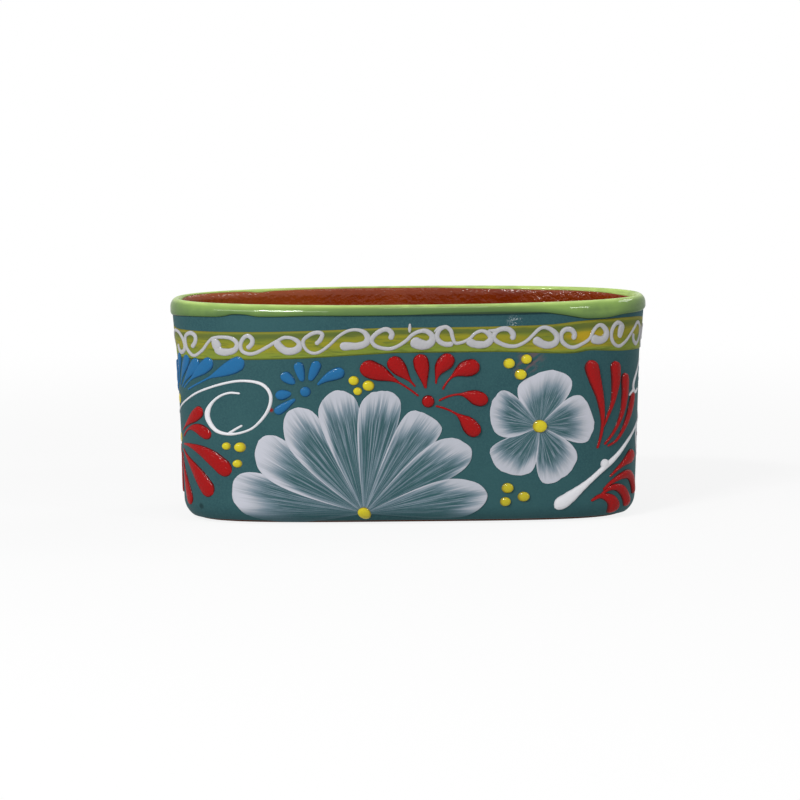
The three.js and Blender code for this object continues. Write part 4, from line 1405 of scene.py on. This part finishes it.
@dataclass
class Face:
    """The pattern of one face, which the back carries again, turned half way round."""

    slip: bpy.types.NodeTree
    brush: bpy.types.NodeTree

    flowers: tuple[Flower, ...] = (
        Flower("large", (-27.4, 6.6), (
            Petal(172, 17.5, 75.5, 0.17, -0.09, 6), Petal(148.5, 16, 72, 0.16, -0.09, 6),
            Petal(126, 17, 72.5, 0.28, -0.09, 6), Petal(102.5, 14, 73.2, 0.17, -0.03, 10),
            Petal(80.3, 14, 73, 0.16, -0.05, 9), Petal(55.8, 13.6, 69.5, 0.05, -0.01, 8),
            Petal(34, 14.5, 73, 0.24, -0.06, 9), Petal(10, 15.5, 73, 0.33, -0.09, 13),
        )),
        Flower("small", (75, 56.5), (
            Petal(86.5, 46, 31.5, 0.05, -0.20, 7), Petal(8, 38, 32.5, 0.06, -0.01, 7),
            Petal(-61, 36, 33, 0.11, -0.15, 6), Petal(-127, 35, 33, 0.17, -0.09, 13),
            Petal(165, 41, 29.5, 0.12, -0.19, 7),
        ), 0.13),
    )
    fans: tuple[Fan, ...] = (
        Fan("red_fan", Slot.RED, (11, 72), 4.0, 3.6, (
            Comma(150, 6, 38, 5.3, -1.4, 0.4), Comma(130, 11, 28.5, 4.7),
            Comma(100, 7.5, 23.5, 4.4, swell=-0.1), Comma(66, 11, 25.5, 4.6, 1.6, 0.12),
            Comma(39, 10.5, 31, 4.9, 2.6, 0.36), Comma(1.5, 6, 29.6, 4.3, 3.4, 0.48),
            Comma(-33, 5, 30.5, 4.6, 2.5, 0.45),
        )),
        Fan("blue_rosette", Slot.BLUE, (-59, 78), 2.4, 3.0, (
            Comma(215, 7.5, 19, 2.6, swell=-0.3), Comma(188, 8.5, 14.5, 3, swell=-0.5),
            Comma(143, 7.7, 14.2, 3.1, swell=-0.5), Comma(104, 6, 14.8, 2.9, swell=-0.5),
            Comma(66, 6.8, 16.4, 3, swell=-0.5), Comma(29, 8, 22.4, 3.4, 0.8, -0.1),
        )),
        Fan("corner_blue_fan", Slot.BLUE, (-151, 70), 1.3, 0.0, (
            Comma(25, 16, 55.5, 4.5, swell=0.42), Comma(37, 12, 37.5, 4.1, swell=0.3),
            Comma(47, 10, 30, 3.7), Comma(63, 9, 26.5, 3.4), Comma(84, 9, 24.5, 3),
            Comma(110, 9, 21, 2.7), Comma(132, 8, 17, 2.5), Comma(152, 8, 14, 2.3),
        )),
        Fan("corner_red_fan", Slot.RED, (-151, 47), 1.3, 0.0, (
            Comma(34.5, 9, 30, 3.8), Comma(9, 9, 31.5, 3.6, 4.6, 0.25), Comma(-18.5, 9, 46, 4.8, 4, 0.0),
            Comma(-39.5, 9, 42.5, 4.8, 1.8, 0.0), Comma(-64, 9, 37.5, 4.1), Comma(-92, 9, 30, 2.7),
            Comma(-118, 9, 27, 2.6), Comma(-143, 8, 18, 2.4), Comma(-170, 8, 15, 2.3),
        )),
    )
    sprays: tuple[tuple[str, tuple[Sequence[Mark], ...]], ...] = (
        ("upper_red_spray", (
            ((109.2, 42, 0.6), (112, 50, 0.8), (113.5, 59, 1.2), (112.6, 71, 2.4), (110, 82, 3.9),
             (108.6, 88.5, 4.6), (107.4, 93.5, 4.6)),
            ((113.4, 54, 0.6), (117.4, 61, 0.9), (121.5, 69, 1.5), (124.3, 79, 3.0), (125.1, 86, 3.6),
             (125.2, 92, 3.5)),
            ((114, 44, 0.6), (121.4, 51.4, 0.9), (127.6, 60.4, 1.6), (131.2, 70.4, 2.6),
             (132.4, 79, 3.2), (132.6, 84.5, 3.0)),
            ((116, 43, 0.6), (122.6, 45.8, 0.8), (129.4, 52.6, 1.4), (135, 60.4, 2.4), (138.6, 67, 2.8),
             (140.6, 72.5, 2.4)),
        )),
        ("lower_red_spray", (
            ((117, 25, 0.6), (122.4, 28.8, 1.0), (128.6, 32.2, 2.0), (134.4, 34.6, 3.8), (140, 37, 4.2)),
            ((112.4, 17.6, 0.7), (118, 21.6, 1.1), (126, 24.6, 2.0), (133.4, 24.8, 3.0),
             (138.8, 20, 3.5), (141, 12.6, 3.2)),
            ((111, 14.8, 0.7), (116, 18, 1.3), (122, 18.4, 2.3), (128, 14.8, 3.4), (132.8, 6.6, 3.6)),
            ((104.8, 11.6, 0.7), (109.4, 14, 1.2), (113.6, 13.6, 2.1), (118.4, 10.6, 3.5),
             (122, 3.6, 4.2)),
        )),
    )
    vine: tuple[Sequence[Mark], ...] = (
        (
            (84.4, 8.6, 3.2), (88, 11.2, 3.9), (92.6, 14.6, 3.4), (98, 18.8, 2.3), (105, 24.2, 1.5),
            (112, 29.6, 1.5), (118, 33.6, 1.6), (124, 37.8, 1.3), (135, 46, 1), (148, 53, 0.8),
            (165, 58, 0.7), (181, 62.5, 0.6), (196, 69.5, 0.6), (210, 76.4, 0.65), (226.5, 81.8, 0.7),
            (239.5, 83.8, 0.75), (251, 82, 0.9), (256.3, 75.5, 0.9), (254.5, 66.6, 0.85),
            (247.5, 58, 0.7), (240.5, 54.2, 0.65), (231.5, 52.6, 0.85), (223, 54.4, 1.1),
            (217.5, 60.2, 1.6), (216.8, 65.4, 1.6), (220, 70.8, 0.85), (225, 74.6, 0.7),
            (231, 76.6, 0.65), (237.5, 76.4, 0.55),
        ),
        ((147.5, 52.7, 0.8), (145.8, 44, 0.7), (150.5, 34, 0.6)),
        ((231, 52.8, 0.8), (235, 55.4, 0.7), (239.5, 58, 0.6)),
    )
    knob: Mark = (114.0, 32.6, 2.9)
    hook: tuple[Sequence[Mark], ...] = (
        (
            (156, 91, 0.6), (150.5, 86, 0.8), (143.5, 79.5, 1), (141.5, 75, 1.1), (145, 72, 1),
            (150, 74, 0.7),
        ),
        ((142, 74, 0.9), (136, 71, 0.7)),
    )
    trios: tuple[tuple[str, float, tuple[Mark, ...]], ...] = (
        ("left", 1.0, ((-105.9, 45.6, 2.3), (-97.5, 45.2, 3), (-99.1, 35.6, 2.4))),
        ("middle", 1.0, ((-31, 84.4, 2.8), (-22.7, 81.4, 3.2), (-28.9, 78.2, 2.4))),
        ("upper", 1.0, ((57.3, 93.4, 3.1), (67.6, 95.6, 2.9), (64.1, 86.8, 3.2))),
        ("lower", 0.76, ((57.2, 20.8, 3.1), (66.4, 15.6, 3), (56.2, 12.8, 2.8))),
    )

    def build(self, side: str, shift: float) -> None:
        """Lay the whole pattern on one face.

        Args:
            side: The face's name.
            shift: How far round the wall the face lies.
        """
        for flower in self.flowers:
            flower.build(self.brush, self.slip, side, shift)
        for number, fan in enumerate(self.fans):
            fan.build(self.slip, side, shift, Seed.FAN.value + number)
        for name, lines in self.sprays:
            work = Slip(Slot.RED, list(lines), crown=2.6)
            work.build(self.slip, f"{side}_{name}", shift, Seed.SPRAY.value)
        # the vine and the hook take tone 1.08, painted light that lifts the shade on the undersides of
        # their beads
        for name, lines, dots in (("vine", self.vine, [self.knob]), ("hook", self.hook, [])):
            work = Slip(Slot.WHITE, list(lines), dots, tremble=0.12, tone=1.08)
            work.build(self.slip, f"{side}_white_{name}", shift, Seed.VINE.value)
        for name, tone, spots in self.trios:
            for number, spot in enumerate(spots, start=1):
                work = Slip(Slot.YELLOW, dots=[spot], crown=4.0, tone=tone)
                node = f"{side}_{name}_yellow_dot_{number}"
                work.build(self.slip, node, shift, Seed.TRIO.value + number)


@dataclass(frozen=True)
class Softbox:
    """A soft lamp that looks at the pot."""

    name: str
    place: Mark
    size: Mark
    power: float
    aim: Mark = (0.0, 0.0, 0.06)

    def build(self) -> None:
        """Set the lamp up."""
        light = bpy.data.lights.new(self.name, "AREA")
        light.shape = "RECTANGLE"
        light.size, light.size_y = self.size
        light.energy = self.power
        lamp = bpy.data.objects.new(self.name, light)
        towards = Vector(self.aim) - Vector(self.place)
        lamp.rotation_euler = towards.to_track_quat("-Z", "Y").to_euler()
        lamp.location = self.place
        bpy.context.scene.collection.objects.link(lamp)


@dataclass(frozen=True)
class Studio:
    """A pale floor, soft light, and the photograph's camera."""

    distance: float = 2.2
    elevation: float = 6.98
    roll: float = -0.52
    aim: float = 0.064
    lens: float = 167.3
    shift: Mark = (-8.77 / 800, 2.77 / 800)
    ambient: float = 0.25
    floor_white: float = 0.85
    lamps: tuple[Softbox, ...] = (
        Softbox("key_softbox", (-1.2, -1.2, 1.12), (1.7, 0.16), 9.5),
        Softbox("spark_softbox", (-0.95, -1.5, 1.35), (0.5, 0.16), 26.0),
        Softbox("right_softbox", (1.34, -1.01, 1.15), (0.35, 0.2), 5.0),
        Softbox("top_softbox", (0.15, -0.7, 1.9), (0.5, 0.2), 2.5),
        Softbox("back_softbox", (1.3, 0.8, 1.3), (0.9, 0.4), 7.0),
    )

    def camera(self) -> None:
        """Place the camera that the photograph was taken with."""
        data = bpy.data.cameras.new("photograph_view")
        data.sensor_width = 36.0
        data.lens = self.lens
        data.shift_x, data.shift_y = self.shift
        data.clip_end = 80.0
        camera = bpy.data.objects.new("photograph_view", data)
        tilt = math.radians(self.elevation)
        height = self.aim + self.distance * math.sin(tilt)
        place = Vector((0.0, -self.distance * math.cos(tilt), height))
        level = Matrix.Rotation(math.pi / 2 - tilt, 4, "X")
        roll = Matrix.Rotation(math.radians(self.roll), 4, "Z")
        camera.matrix_world = Matrix.Translation(place) @ level @ roll
        bpy.context.scene.collection.objects.link(camera)
        bpy.context.scene.camera = camera

    def shown(self, g: Graph) -> Wire:
        """Return 1 where the camera, a reflection or a refraction sees the surface."""
        path = g.add("ShaderNodeLightPath", {})
        seen = ("Is Camera Ray", "Is Glossy Ray", "Is Transmission Ray")
        camera, glossy, through = (Wire(g, path.outputs[ray]) for ray in seen)
        return g.math("MAXIMUM", g.math("MAXIMUM", camera, glossy), through)

    def floor(self) -> None:
        """Lay the floor."""
        half = 30.0
        mesh = bpy.data.meshes.new("studio_floor")
        corners = [(-half, -half, 0.0), (half, -half, 0.0), (half, half, 0.0), (-half, half, 0.0)]
        mesh.from_pydata(corners, [], [(0, 1, 2, 3)])
        floor = bpy.data.objects.new("studio_floor", mesh)
        bpy.context.scene.collection.objects.link(floor)
        g = Graph.paint("studio_floor")
        matte = g.out("ShaderNodeBsdfDiffuse", {"Color": (0.82, 0.82, 0.82)})
        white = g.out("ShaderNodeEmission", {"Color": (1.0, 1.0, 1.0), "Strength": 1.0})
        where = g.here()
        away = g.out("ShaderNodeVectorMath", {0: where}, "Value", operation="LENGTH")
        share = self.shown(g) * g.ramp(away, 0.25, 1.0, self.floor_white, 1.0)
        surface = g.out("ShaderNodeMixShader", {0: share, 1: matte, 2: white})
        g.add("ShaderNodeOutputMaterial", {0: surface})
        mesh.materials.append(g.material)

    def world(self) -> None:
        """Surround the studio with plain white."""
        world = bpy.data.worlds.new("studio")
        world.use_nodes = True
        world.node_tree.nodes.clear()
        bpy.context.scene.world = world
        g = Graph(world.node_tree)
        soft = g.out("ShaderNodeBackground", {"Color": (1.0, 1.0, 1.0), "Strength": self.ambient})
        white = g.out("ShaderNodeBackground", {"Color": (1.0, 1.0, 1.0), "Strength": 1.0})
        surface = g.out("ShaderNodeMixShader", {0: self.shown(g), 1: soft, 2: white})
        g.add("ShaderNodeOutputWorld", {0: surface})

    def build(self) -> None:
        """Set the studio up."""
        self.camera()
        self.floor()
        self.world()
        for lamp in self.lamps:
            lamp.build()
        bpy.context.scene.view_settings.view_transform = "Standard"


def main() -> None:
    """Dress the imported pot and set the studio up."""
    logging.basicConfig(level=logging.INFO, format="%(name)s: %(message)s")
    wall = Wall.packed()
    for finish in FINISHES:
        finish.paint()
    Studio().build()
    bend = wall.bend()
    slip = trailed_slip(bend)
    brush = brushed_petals(bend)
    Coats(wall, bend).build()
    Border(wall, slip).build()
    pattern = Face(slip, brush)
    pattern.build("front", 0.0)
    pattern.build("back", wall.face)


if __name__ == "__main__":
    main()
